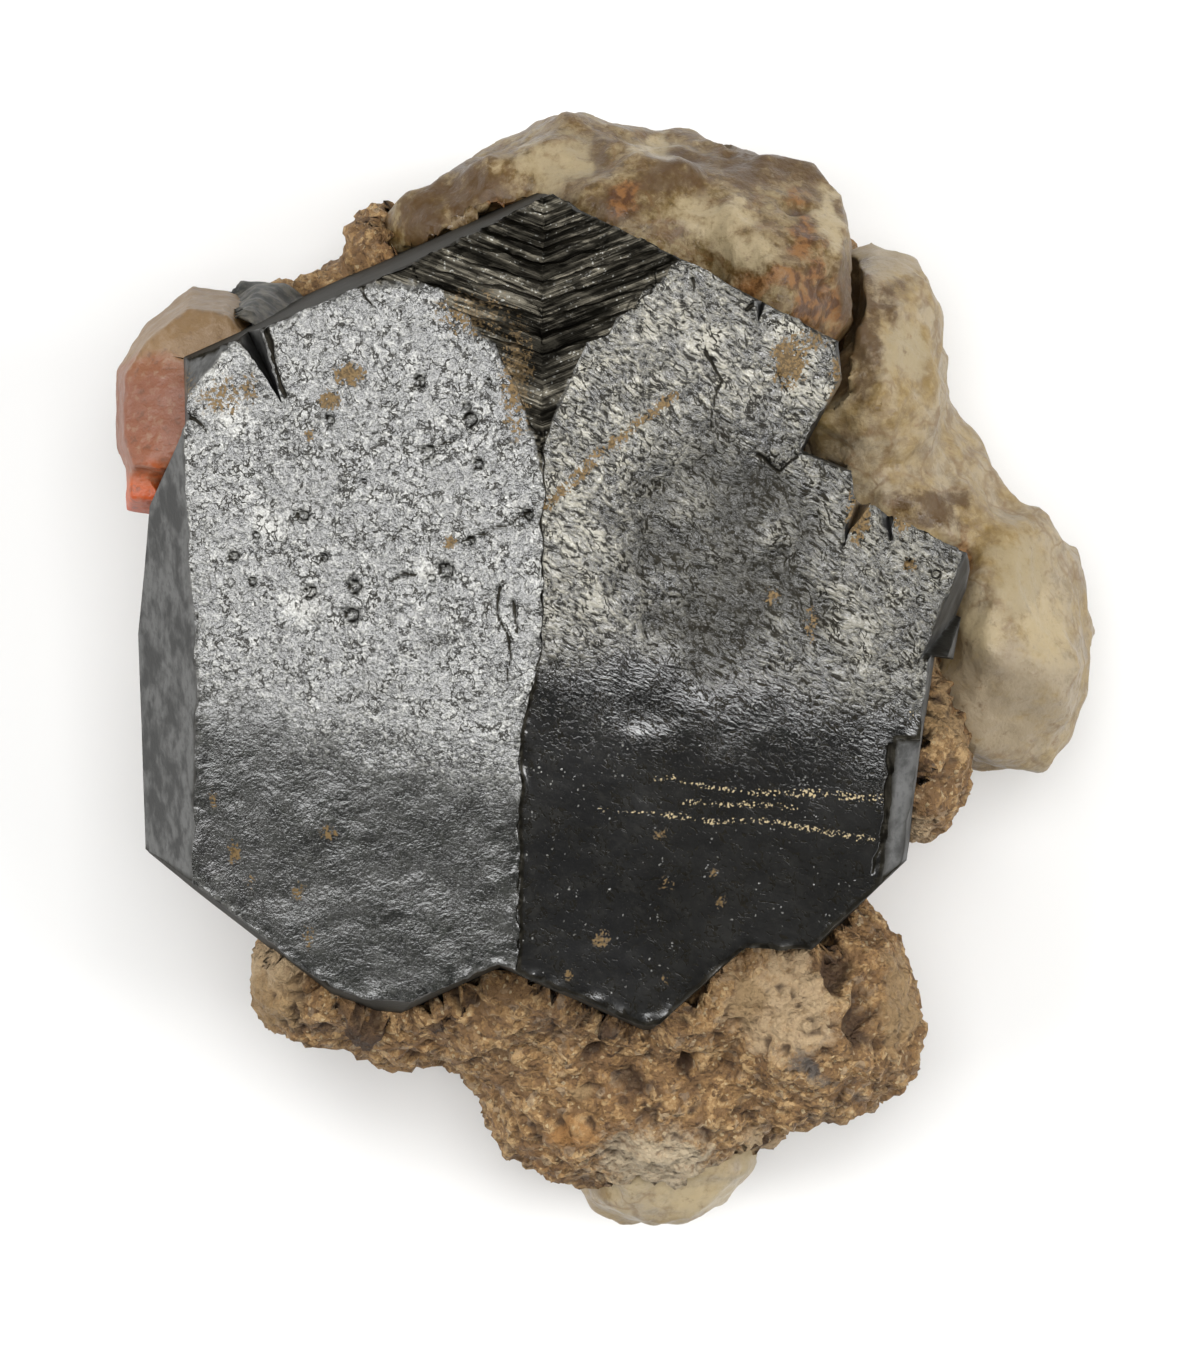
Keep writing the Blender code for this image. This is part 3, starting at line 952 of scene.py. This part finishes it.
class LineField:
    """How near a place is to some polylines drawn on the front, in half widths."""

    def __init__(self, lines):
        found = []
        for start_width, end_width, *corners in lines:
            for point, share in points_along(corners, 0.05):
                width = start_width + (end_width - start_width) * share
                found.append((point, width))
        self.widths = [width for _, width in found]
        self.tree = KDTree(len(found))
        for i, (point, _) in enumerate(found):
            self.tree.insert((point.x, point.y, 0), i)
        self.tree.balance()

    def measure(self, place):
        """Distance in mm, and in half widths of the nearest line."""
        _, index, far = self.tree.find((place.x, place.y, 0))
        return far, far / self.widths[index]


# ---------------------------------------------------------------- the twin

TWIN_MARKS = "left right notch deep rim stain streak groove gloom cluster".split()


def facet_kind(face):
    """0 side, 1 left front, 2 right front, 3 notch."""
    normal, centre = face.normal, face.calc_center_median() / MM
    if normal.z > 0.8 and normal.y < 0.05:
        return 1 if normal.x < 0 else 2
    beside = abs(centre.x - NOTCH_X)
    if centre.y > NOTCH_LOW and centre.z > FRONT_Z and beside < NOTCH_REACH:
        if abs(normal.z) > 0.12:
            return 3
    return 0


def cut_evenly(shape, step):
    """Cuts the faces by planes a step apart, so that subdivision comes out even."""
    low = [min(vert.co[axis] for vert in shape.verts) for axis in range(3)]
    high = [max(vert.co[axis] for vert in shape.verts) for axis in range(3)]
    for axis, spacing in enumerate((step, step, step * 1.5)):
        direction = Vector([float(i == axis) for i in range(3)])
        for cut in range(1, int((high[axis] - low[axis]) / spacing) + 1):
            faces = [
                face
                for face in shape.faces
                if face.normal.z > -0.5 and (axis < 2 or face.normal.z < 0.5)
            ]
            edges = {edge for face in faces for edge in face.edges}
            verts = {vert for face in faces for vert in face.verts}
            bmesh.ops.bisect_plane(
                shape,
                geom=list(verts) + list(edges) + faces,
                dist=0.0005 * MM,
                plane_co=direction * (low[axis] + cut * spacing),
                plane_no=direction,
            )


def sharp_points(shape, spacing):
    """Points along the sharp edges that face up, for measuring how near a rim is."""
    points = []
    for edge in shape.edges:
        if not edge.is_manifold or edge.calc_face_angle() < SHARP:
            continue
        if max(face.normal.z for face in edge.link_faces) < 0.4:
            continue
        if {facet_kind(face) for face in edge.link_faces} in ({1}, {2}):
            continue
        start, end = (vert.co for vert in edge.verts)
        count = max(1, int((end - start).length / spacing))
        points += [start.lerp(end, i / count) for i in range(count + 1)]
    tree = KDTree(len(points))
    for i, point in enumerate(points):
        tree.insert(point, i)
    tree.balance()
    return tree


def hinge_distance(place, hinge):
    """How far below the bend of its front face a place is, in mm."""
    start, end, _ = hinge
    run = (Vector(end) - Vector(start)).normalized()
    return run.y * (place.x - start[0]) - run.x * (place.y - start[1])


def eased(distance, degrees, reach):
    """The drop that rounds off a bend between two flat faces."""
    inside = max(0.0, reach - abs(distance))
    return math.tan(math.radians(degrees)) * inside * inside / (4 * reach)


def along(place, turn, stretch, size):
    """The place in a frame turned about z, for noise drawn out into ripples."""
    cos, sin = math.cos(math.radians(turn)), math.sin(math.radians(turn))
    u = place.x * cos + place.y * sin
    v = -place.x * sin + place.y * cos
    return Vector((u / (size * stretch), v / size, place.z / (3 * size)))


def halve_edges(shape, edges):
    """Cuts edges in two, and leaves no face with more than four corners."""
    bmesh.ops.subdivide_edges(shape, edges=edges, cuts=1, use_grid_fill=True)
    ngons = [face for face in shape.faces if len(face.verts) > 4]
    bmesh.ops.triangulate(shape, faces=ngons)


def near_feature(edge, features):
    """Whether an edge of the front lies at a pit or a crack."""
    middle = (edge.verts[0].co + edge.verts[1].co) / 2 / MM
    return middle.z > FRONT_Z and features.measure(middle)[0] < FEATURE_REACH


def oval(place, x, y, wide, tall):
    """Distance from an oval's middle, 1 at its border."""
    return math.hypot((place.x - x) / wide, (place.y - y) / tall)


def height_on(line, x):
    """The y of a line, given by its corners from left to right, at some x."""
    for (x0, y0), (x1, y1) in zip(line, line[1:]):
        if x <= x1:
            return y0 + (y1 - y0) * (x - x0) / (x1 - x0)
    return line[-1][1]


def left_relief(place, below, settings):
    """The etched face: small lumps, turning to ripples that climb to the right."""
    lump, ripple = settings.lump / MM, settings.ripple / MM
    rise = lump * noise.noise(place / 0.9)
    rise += 0.6 * lump * (1 - 0.7 * below) * noise.noise(place / 0.36)
    slow = smoothstep(noise.noise(place / 3.3) + 0.25 - 0.09 * place.y, 0, 0.8)
    bent = place + Vector(noise.noise_vector(place / 1.4)) * 0.3
    wave = noise.noise(along(bent, 20, 3.2, 0.46))
    wave += 0.6 * below * noise.noise(along(bent, 15, 2.2, 0.85))
    wave += 0.4 * noise.noise(along(bent, 28, 2.6, 0.24))
    return rise + ripple * slow * wave * (1 - 0.5 * below)


def past_step(place):
    """How far to the right of the right face's low step a place is, in mm."""
    return place.x - 1.0 - 0.35 * noise.noise(Vector((0, place.y / 1.6, 4)))


def right_relief(place, below, settings):
    """The scaly face: short folds that fall to the right, and one low step."""
    ripple = settings.ripple / MM
    bent = place + Vector(noise.noise_vector(place / 1.6)) * 0.35
    wave = noise.noise(along(bent, -31, 3.4, 0.24))
    wave += 1.1 * noise.noise(along(bent, -26, 3.0, 0.50))
    wave += 0.7 * noise.noise(place / 0.7)
    rise = ripple * wave * (1 - 0.9 * below)
    step = past_step(place)
    ledge = smoothstep(step, -0.10, 0.12) * (1 - smoothstep(step, 0.5, 4.0))
    return rise - 0.05 * ledge * (1 - below)


def pit_relief(place, depth):
    """A steep little hole with a raised lip for each pit nearby."""
    rise, inside = 0.0, 0.0
    for x, y, radius in PITS:
        far = math.hypot(place.x - x, place.y - y) / radius
        if far < 2.0:
            far *= 1 + 0.25 * noise.noise(place / 0.2)
            rise -= depth * math.sqrt(max(0.0, 1 - far * far)) * radius / 0.22
            rise += 0.03 * math.exp(-(((far - 1.25) / 0.2) ** 2))
            inside = max(inside, math.exp(-(((far - 0.85) / 0.22) ** 2)))
    return rise, inside


def stain_at(place):
    """How deep in an iron stain a place is."""
    return max(
        strength * (1.5 - oval(place, x, y, wide, tall))
        for x, y, wide, tall, strength in STAINS
    )


def cluster_at(place):
    """How deep in a cluster of pale grains a place is."""
    return max(
        1.4 - oval(place, x, y, radius, radius) for x, y, radius in PALE_CLUSTERS
    )


def etched_at(place):
    """1 on the etched skin of the left face, 0 past its ragged upper border."""
    fray = 0.22 * noise.noise(place / 0.35) + 0.10 * noise.noise(place / 0.12)
    return smoothstep(height_on(ETCHED_TOP, place.x) - place.y + fray, -0.06, 0.10)


def hollow_at(place):
    """How far down in the right face's hollow a place is, and how much painted shade it
    gets there.
    """
    blob = oval(place, *HOLLOW) + 0.7 * noise.noise(place / 1.6)
    sunk = 1 - smoothstep(blob, 0.40, 1.3)
    shaded = 0.3 * smoothstep(past_step(place), -0.1, 0.3)
    return sunk, max(sunk, shaded * (1 - smoothstep(place.y, 6.5, 8.5)))


def fine_twin(settings):
    """The twin's solid cut fine, finest at its small features, and its sharp edges."""
    shape = merged_copy("cassiterite_twin")
    bmesh.ops.dissolve_limit(
        shape,
        angle_limit=math.radians(0.4),
        verts=shape.verts,
        edges=shape.edges,
    )
    rims = sharp_points(shape, 0.12 * MM)
    kind = shape.faces.layers.int.new("kind")
    for face in shape.faces:
        face[kind] = facet_kind(face)
        face.smooth = True
    for edge in shape.edges:
        edge.smooth = edge.calc_face_angle(math.pi) < SHARP
    cut_evenly(shape, settings.cell)
    ngons = [face for face in shape.faces if len(face.verts) > 4]
    bmesh.ops.triangulate(shape, faces=ngons)
    obj = add_object("twin_skin", shape)
    even = obj.modifiers.new("even", "SUBSURF")
    even.subdivision_type = "SIMPLE"
    even.levels = even.render_levels = 2
    apply_modifiers(obj)

    shape = bmesh.new()
    shape.from_mesh(obj.data)
    kind = shape.faces.layers.int["kind"]
    front = {edge for face in shape.faces if face[kind] for edge in face.edges}
    halve_edges(shape, list(front))
    rings = [(radius, radius, (x, y), (x + 0.01, y)) for x, y, radius in PITS]
    features = LineField([*CRACKS, *rings, SUTURE])
    halve_edges(shape, [edge for edge in shape.edges if near_feature(edge, features)])
    return obj, shape, rims


class TwinRelief:
    """The relief of the twin's skin, and the marks that its material reads."""

    def __init__(self, shape, rims, settings):
        self.rims, self.settings = rims, settings
        self.kind = shape.faces.layers.int["kind"]
        self.layers = {name: shape.verts.layers.float.new(name) for name in TWIN_MARKS}
        self.cracks = LineField([*CRACKS, SUTURE])
        self.streaks = LineField([(half, half, *corners) for half, *corners in STREAKS])
        self.vein = LineField([(VEIN[0], VEIN[0], *VEIN[1:])])

    def height(self, place, vert):
        """How far a corner stands out, in mm. It also sets the corner's marks."""
        settings = self.settings
        kinds = [face[self.kind] for face in vert.link_faces]
        left, right, notch = (kinds.count(k) / len(kinds) for k in (1, 2, 3))
        front = left + right
        etched = etched_at(place) if left else 1.0
        hinge = HINGE_LEFT if left >= right else HINGE_RIGHT
        down = hinge_distance(place, hinge)
        ragged = down + 0.9 * noise.noise(place / 1.6)
        below = smoothstep(ragged, -0.9, 1.2)
        lean = left * (1.4 * smoothstep(place.x, -13.0, -4.0) - 0.6)
        marks = {
            "left": left * etched,
            "right": right,
            "notch": notch + left * (1 - etched),
            "deep": smoothstep(ragged - lean, -2.2, 3.5),
        }
        rise = settings.swell / MM * noise.noise(place / 3.0)
        rise += 0.008 * noise.noise(place / 0.7)
        if not front + notch:
            rise *= 0.5
            # Painted shade on side faces turned to the front or the back.
            marks["gloom"] = smoothstep(abs(vert.normal.y - 0.1), 0.35, 0.6)
        rise -= eased(down, hinge[2], 1.4) * front
        if left:
            rise += left * (left_relief(place, below, settings) - 0.07 * (1 - etched))
        if right:
            sunk, gloom = hollow_at(place)
            marks["gloom"] = gloom * right
            rise += right * right_relief(place, below, settings)
            rise -= 0.22 * sunk * right
        if notch:
            rise = 0.008 * noise.noise(place / 0.4)

        bite, marks["rim"] = self.chips(place, vert, below * (1 - left))
        rise -= bite * ((1 - 0.7 * notch) * (1 - 0.6 * right * below))
        if place.z > STAINED_Z:
            line = 0.85 - 0.30 * self.vein.measure(place)[1]
            marks["stain"] = max(stain_at(place), line * right)
        if front + notch and place.z > FRONT_Z:
            rise += self.details(place, front, marks)
        for name, value in marks.items():
            vert[self.layers[name]] = max(0.0, min(1.0, value))
        return rise

    def chips(self, place, vert, least):
        """How deep the nearest sharp edge is chipped, and its rim mark, least or more:
        painted highlight on the fronts, painted shade on the sides.
        """
        edge = self.rims.find(vert.co)[2] / MM
        near = math.exp(-((edge / 0.17) ** 2))
        worn = smoothstep(noise.noise(place / 1.8) + 0.04 * place.y, -0.35, 0.35)
        chipped = worn * (0.6 + 0.9 * noise.noise(place / 0.5))
        bite = 0.5 * noise.noise(place / 0.6) + 0.8 * noise.noise(place / 0.19)
        depth = self.settings.chip / MM * near * (0.3 + 0.7 * worn)
        return depth * max(0.0, bite), near * max(chipped, least)

    def details(self, place, front, marks):
        """How far the pits and cracks of the front raise a place, and their marks."""
        sink, lip = pit_relief(place, self.settings.pit / MM)
        wobble = Vector(noise.noise_vector(place / 0.5)) * 0.12
        cut = 1 - smoothstep(self.cracks.measure(place + wobble)[1], 0.3, 1.2)
        marks["groove"] = max(cut, 0.8 * lip) * front
        marks["streak"] = 1.3 - 0.6 * self.streaks.measure(place)[1]
        marks["cluster"] = cluster_at(place)
        return sink - 0.08 * cut


def jagged_rims(shape, rims):
    """Pushes the skin about along its sharp edges."""
    for vert in shape.verts:
        edge = rims.find(vert.co)[2] / MM
        if edge < RIM_REACH:
            place = vert.co / MM
            push = Vector(noise.noise_vector(place / 0.8)) * (0.10 * MM)
            push += Vector(noise.noise_vector(place / 0.3)) * (0.04 * MM)
            vert.co += push * (1 - edge / RIM_REACH)


def twin_skin(settings):
    """The twin's finished skin, an object that has its marks but no material yet."""
    obj, shape, rims = fine_twin(settings)
    move_along_normals(shape, TwinRelief(shape, rims, settings).height)
    jagged_rims(shape, rims)
    shape.to_mesh(obj.data)
    shape.free()
    return obj


# ---------------------------------------------------------------- stone and quartz

SEAT_REACH = 0.34 * MM  # a mass that comes this near to a crystal is drawn to it
SMALL_SEAT = 0.1 * MM  # how far a small crystal reaches into the one beside it
SIDE_MARGIN = 0.3 * MM  # how far a mass may stick out past the solids' box
HOLE_DEPTH = 0.55  # in mm


def remeshed(node, name, voxel, rounding=2):
    """An evenly meshed copy of a CAD node, its facets softened."""
    obj = add_object(name, merged_copy(node))
    remesh = obj.modifiers.new("remesh", "REMESH")
    remesh.mode = "VOXEL"
    remesh.voxel_size = voxel
    smooth = obj.modifiers.new("smooth", "SMOOTH")
    smooth.factor = 0.5
    smooth.iterations = rounding
    apply_modifiers(obj)
    return obj


def cell_of(place, size):
    """How far inside its grain a place is, and a number of that grain's own."""
    distances, middles = noise.voronoi(place / size)
    number = noise.cell(middles[0] * 7.3 + Vector((0.37, 0.11, 0.53)))
    return distances[1] - distances[0], number


def patch_marks(place):
    """How far inside a patch of each tone a place is, 0 to 1."""
    warped = place + Vector(noise.noise_vector(place / 0.9)) * 0.5
    marks = {}
    for tone, patches in PATCHES.items():
        near = [patch for patch in patches if abs(warped.x - patch[0]) < 2 * patch[2]]
        inside = (1 - smoothstep(oval(warped, *patch), 0.5, 1.5) for patch in near)
        marks[tone] = max(inside, default=0.0)
    return marks


def seat(shape, tree, depth, cavity):
    """Draws the stone's rim into the crystals that it holds, and paints shade along the
    seam.
    """
    for vert in shape.verts:
        spot, normal, _, far = tree.find_nearest(vert.co, SEAT_REACH * 2.4)
        if spot is None:
            continue
        shade = 0.8 * (1 - smoothstep(far, 0.6 * SEAT_REACH, 1.6 * SEAT_REACH))
        vert[cavity] = max(vert[cavity], shade)
        share = 1 - smoothstep(far, SEAT_REACH, SEAT_REACH * 1.8)
        vert.co = vert.co.lerp(spot - normal * depth, share)


def keep_in_bounds(shape):
    """Keeps the flat underside at z = 0, and the sides near the solids' box."""
    low, high = CAD_BOX
    for vert in shape.verts:
        for axis in (0, 1):
            inner = max(low[axis] - SIDE_MARGIN, vert.co[axis])
            vert.co[axis] = min(high[axis] + SIDE_MARGIN, inner)
        if vert.co.z < 0.12 * MM:
            vert.co.z = 0.0


def shape_stone(obj, height, neighbours, depth):
    """Gives a mass its relief, marks and patches, and seats it in its neighbours."""
    shape = bmesh.new()
    shape.from_mesh(obj.data)
    names = ("cavity", "grain", *PATCHES)
    layers = {name: shape.verts.layers.float.new(name) for name in names}

    def layered(place, vert):
        rise, marks = height(place)
        if vert.normal.z > -0.2:
            marks.update(patch_marks(place))
        # A hole is sunk, and painted in shade as well.
        hole = marks.get("hole", 0.0)
        marks["cavity"] = min(1.0, marks.get("cavity", 0.0) + hole)
        for name, value in marks.items():
            vert[layers[name]] = value
        return (rise - HOLE_DEPTH * hole) * smoothstep(place.z, 0.1, 0.8)

    move_along_normals(shape, layered)
    seat(shape, tree_of(*neighbours), depth, layers["cavity"])
    keep_in_bounds(shape)
    for face in shape.faces:
        face.smooth = True
    shape.to_mesh(obj.data)
    shape.free()


def greisen_height(settings):
    """A function from a place to the greisen's rise there, in mm, and its marks."""
    size, relief = settings.grain / MM, settings.relief / MM

    def height(place):
        warp = Vector(noise.noise_vector(place / 0.8)) * 0.2
        edge, number = cell_of(place + warp, size)
        rough = noise.fractal(place / 1.3, 0.6, 2.1, 5)
        small = smoothstep(noise.noise(place / 0.38 + Vector((9, 2, 5))), 0.18, 0.5)
        big = smoothstep(noise.noise(place / 1.1 - Vector((3, 8, 1))), 0.34, 0.60)
        rise = relief * (smoothstep(edge, 0.0, 0.3) - 0.7 + 0.9 * (number - 0.5))
        rise += 0.22 * rough - 0.13 * small - 0.17 * big
        # Crevices between grains and the dents are painted in shade.
        crevice = 1 - smoothstep(edge, 0.0, 0.2)
        cavity = 0.3 * crevice + 0.7 * small + 0.5 * big - 0.6 * rough
        return rise, {"cavity": cavity, "grain": number}

    return height


def quartz_height(settings, dirt):
    """A function from a place to the quartz's rise there, in mm, and its marks."""
    size, relief = settings.scoop / MM, settings.relief / MM

    def scoop(place, span):
        far = noise.voronoi(place / span)[0][0]
        return 2.2 * far * far - 0.75

    def height(place):
        bent = place + Vector(noise.noise_vector(place / 2.0)) * 0.6
        rise = relief * scoop(bent, size)
        rise += 0.35 * relief * scoop(bent + Vector((5, 1, 3)), size * 0.38)
        rise += 0.12 * noise.noise(place / 2.6) + 0.035 * noise.noise(place / 0.5)
        rise += 0.02 * noise.noise(place / 0.22)
        stain = smoothstep(noise.noise(place / 2.4) + dirt, 0.0, 0.6)
        hollow = smoothstep(noise.noise(place / 1.1), 0.30, 0.6) * stain
        return rise - 0.05 - 0.30 * hollow, {"cavity": hollow}

    return height


# ---------------------------------------------------------------- operators


def pieces(*names):
    return [bpy.data.objects[name] for name in names]


class SPECIMEN_OT_twin(bpy.types.Operator):
    """Adds the skin of the big twinned crystal"""

    bl_idname = "specimen.twin"
    bl_label = "Twinned Crystal"

    def execute(self, context):
        settings = context.scene.specimen_crystal
        dress(
            twin_skin(settings),
            "cassiterite_twin",
            cassiterite_material(settings),
        )
        return {"FINISHED"}


class SPECIMEN_OT_small_crystals(bpy.types.Operator):
    """Adds the small grey crystal and the reddish one"""

    bl_idname = "specimen.small_crystals"
    bl_label = "Small Crystals"

    def execute(self, context):
        def uneven(place):
            rise = 0.08 * noise.noise(place / 1.1) + 0.04 * noise.noise(place / 0.4)
            return rise - 0.03, {}

        orange = remeshed("orange_crystal", "reddish_crystal", 0.11 * MM, 4)
        shape_stone(orange, uneven, pieces("twin_skin"), SMALL_SEAT)
        dress(orange, "orange_crystal", orange_material())
        little = remeshed("small_cassiterite", "small_crystal", 0.08 * MM, 1)
        crystals = pieces("twin_skin", "reddish_crystal")
        shape_stone(little, uneven, crystals, SMALL_SEAT)
        dress(
            little,
            "small_cassiterite",
            little_material(context.scene.specimen_crystal),
        )
        return {"FINISHED"}


class SPECIMEN_OT_quartz(bpy.types.Operator):
    """Adds the three quartz masses"""

    bl_idname = "specimen.quartz"
    bl_label = "Quartz"

    def execute(self, context):
        settings = context.scene.specimen_quartz
        stone = context.scene.specimen_stone
        honey = quartz_material(
            "honey_quartz",
            settings,
            stone,
            settings.honey,
            scaled(settings.pale, 0.65),
            0.65,
        )
        pale = quartz_material(
            "pale_quartz", settings, stone, settings.pale, settings.smoke, 0.3
        )
        crystals = pieces("twin_skin", "small_crystal", "reddish_crystal")
        for node, slot, material, dirt in (
            ("quartz_back", "honey_quartz", honey, 0.05),
            ("quartz_right", "pale_quartz", pale, -0.15),
            ("quartz_foot", "pale_quartz", pale, -0.15),
        ):
            mass = remeshed(node, node + "_mass", stone.voxel * 0.9, 4)
            shape_stone(mass, quartz_height(settings, dirt), crystals, stone.seat)
            dress(mass, node, material)
        return {"FINISHED"}


class SPECIMEN_OT_matrix(bpy.types.Operator):
    """Adds the brown granular stone that holds the rest"""

    bl_idname = "specimen.matrix"
    bl_label = "Matrix"

    def execute(self, context):
        settings = context.scene.specimen_stone
        held = pieces(
            "twin_skin",
            "small_crystal",
            "reddish_crystal",
            "quartz_back_mass",
            "quartz_right_mass",
            "quartz_foot_mass",
        )
        stone = remeshed("matrix", "matrix_stone", settings.voxel)
        for vert in stone.data.vertices:
            far = oval(vert.co / MM, *STONE_TIP)
            vert.co.x -= settings.tuck * (1 - smoothstep(far, 0.4, 1.5))
        shape_stone(stone, greisen_height(settings), held, settings.seat)
        material = greisen_material(settings, context.scene.specimen_quartz)
        dress(stone, "matrix", material)
        return {"FINISHED"}


def aim(obj, target):
    obj.rotation_euler = (target - obj.location).to_track_quat("-Z", "Y").to_euler()


def add_light(name, power, size, direction, distance, target):
    data = bpy.data.lights.new(name, "AREA")
    data.shape = "RECTANGLE"
    data.energy = power
    data.size, data.size_y = size
    lamp = bpy.data.objects.new(name, data)
    lamp.location = target + Vector(direction).normalized() * distance
    aim(lamp, target)
    bpy.context.scene.collection.objects.link(lamp)


class SPECIMEN_OT_stage(bpy.types.Operator):
    """Adds the floor, the lights and the camera that looks straight down"""

    bl_idname = "specimen.stage"
    bl_label = "Stage"

    def execute(self, context):
        scene = context.scene
        settings = scene.specimen_stage
        shape = bmesh.new()
        bmesh.ops.create_grid(
            shape,
            x_segments=8,
            y_segments=8,
            size=1.5,
            matrix=Matrix.Translation((0, 0, -0.02 * MM)),
        )
        floor = add_object("floor", shape)
        floor.data.materials.append(plain_material("floor", settings.floor, 0.8))

        target = Vector(LIGHTS_AIM) * MM
        for light in (
            # name, power, size, direction to it, distance
            ("key", settings.key, (0.20, 0.30), (-0.73, -0.07, 0.68), 0.42),
            ("fill", settings.fill, (0.20, 0.30), (0.72, -0.03, 0.69), 0.42),
            ("top", settings.top, (0.30, 0.30), (0.0, 0.10, 1.0), 0.60),
            ("rim", settings.rim, (0.30, 0.15), (0.0, 0.86, 0.5), 0.45),
        ):
            add_light(*light, target)
        world = bpy.data.worlds.new("room")
        world.use_nodes = True
        sky = world.node_tree.nodes["Background"]
        sky.inputs["Color"].default_value = (0.97, 0.98, 1.0, 1)
        sky.inputs["Strength"].default_value = settings.sky
        scene.world = world
        scene.view_settings.view_transform = "Standard"

        data = bpy.data.cameras.new("camera")
        data.sensor_fit = "VERTICAL"
        data.sensor_height = 36
        data.lens = data.sensor_height * settings.distance / settings.field
        data.clip_start = 0.005
        camera = bpy.data.objects.new("camera", data)
        camera.location = Vector(CAMERA_AIM) * MM
        camera.location.z += settings.distance
        scene.collection.objects.link(camera)
        scene.camera = camera
        return {"FINISHED"}


OPERATORS = (
    SPECIMEN_OT_twin,
    SPECIMEN_OT_small_crystals,
    SPECIMEN_OT_quartz,
    SPECIMEN_OT_matrix,
    SPECIMEN_OT_stage,
)
SETTINGS = {
    "specimen_crystal": CrystalSettings,
    "specimen_stone": StoneSettings,
    "specimen_quartz": QuartzSettings,
    "specimen_stage": StageSettings,
}


class SPECIMEN_PT_panel(bpy.types.Panel):
    """Lists the steps and their settings"""

    bl_idname = "SPECIMEN_PT_panel"
    bl_label = "Cassiterite Specimen"
    bl_space_type = "VIEW_3D"
    bl_region_type = "UI"
    bl_category = "Specimen"

    def draw(self, context):
        layout = self.layout
        for operator in OPERATORS:
            layout.operator(operator.bl_idname)
        for name, group in SETTINGS.items():
            box = layout.box()
            for prop in group.__annotations__:
                box.prop(getattr(context.scene, name), prop)


def register():
    for group in SETTINGS.values():
        bpy.utils.register_class(group)
    for name, group in SETTINGS.items():
        setattr(bpy.types.Scene, name, PointerProperty(type=group))
    for operator in OPERATORS:
        bpy.utils.register_class(operator)
    bpy.utils.register_class(SPECIMEN_PT_panel)


def unregister():
    bpy.utils.unregister_class(SPECIMEN_PT_panel)
    for operator in reversed(OPERATORS):
        bpy.utils.unregister_class(operator)
    for name in SETTINGS:
        delattr(bpy.types.Scene, name)
    for group in reversed(SETTINGS.values()):
        bpy.utils.unregister_class(group)


def main():
    noise.seed_set(NOISE_SEED)
    register()
    bpy.ops.specimen.twin()
    bpy.ops.specimen.small_crystals()
    bpy.ops.specimen.quartz()
    bpy.ops.specimen.matrix()
    bpy.ops.specimen.stage()


if __name__ == "__main__":
    main()
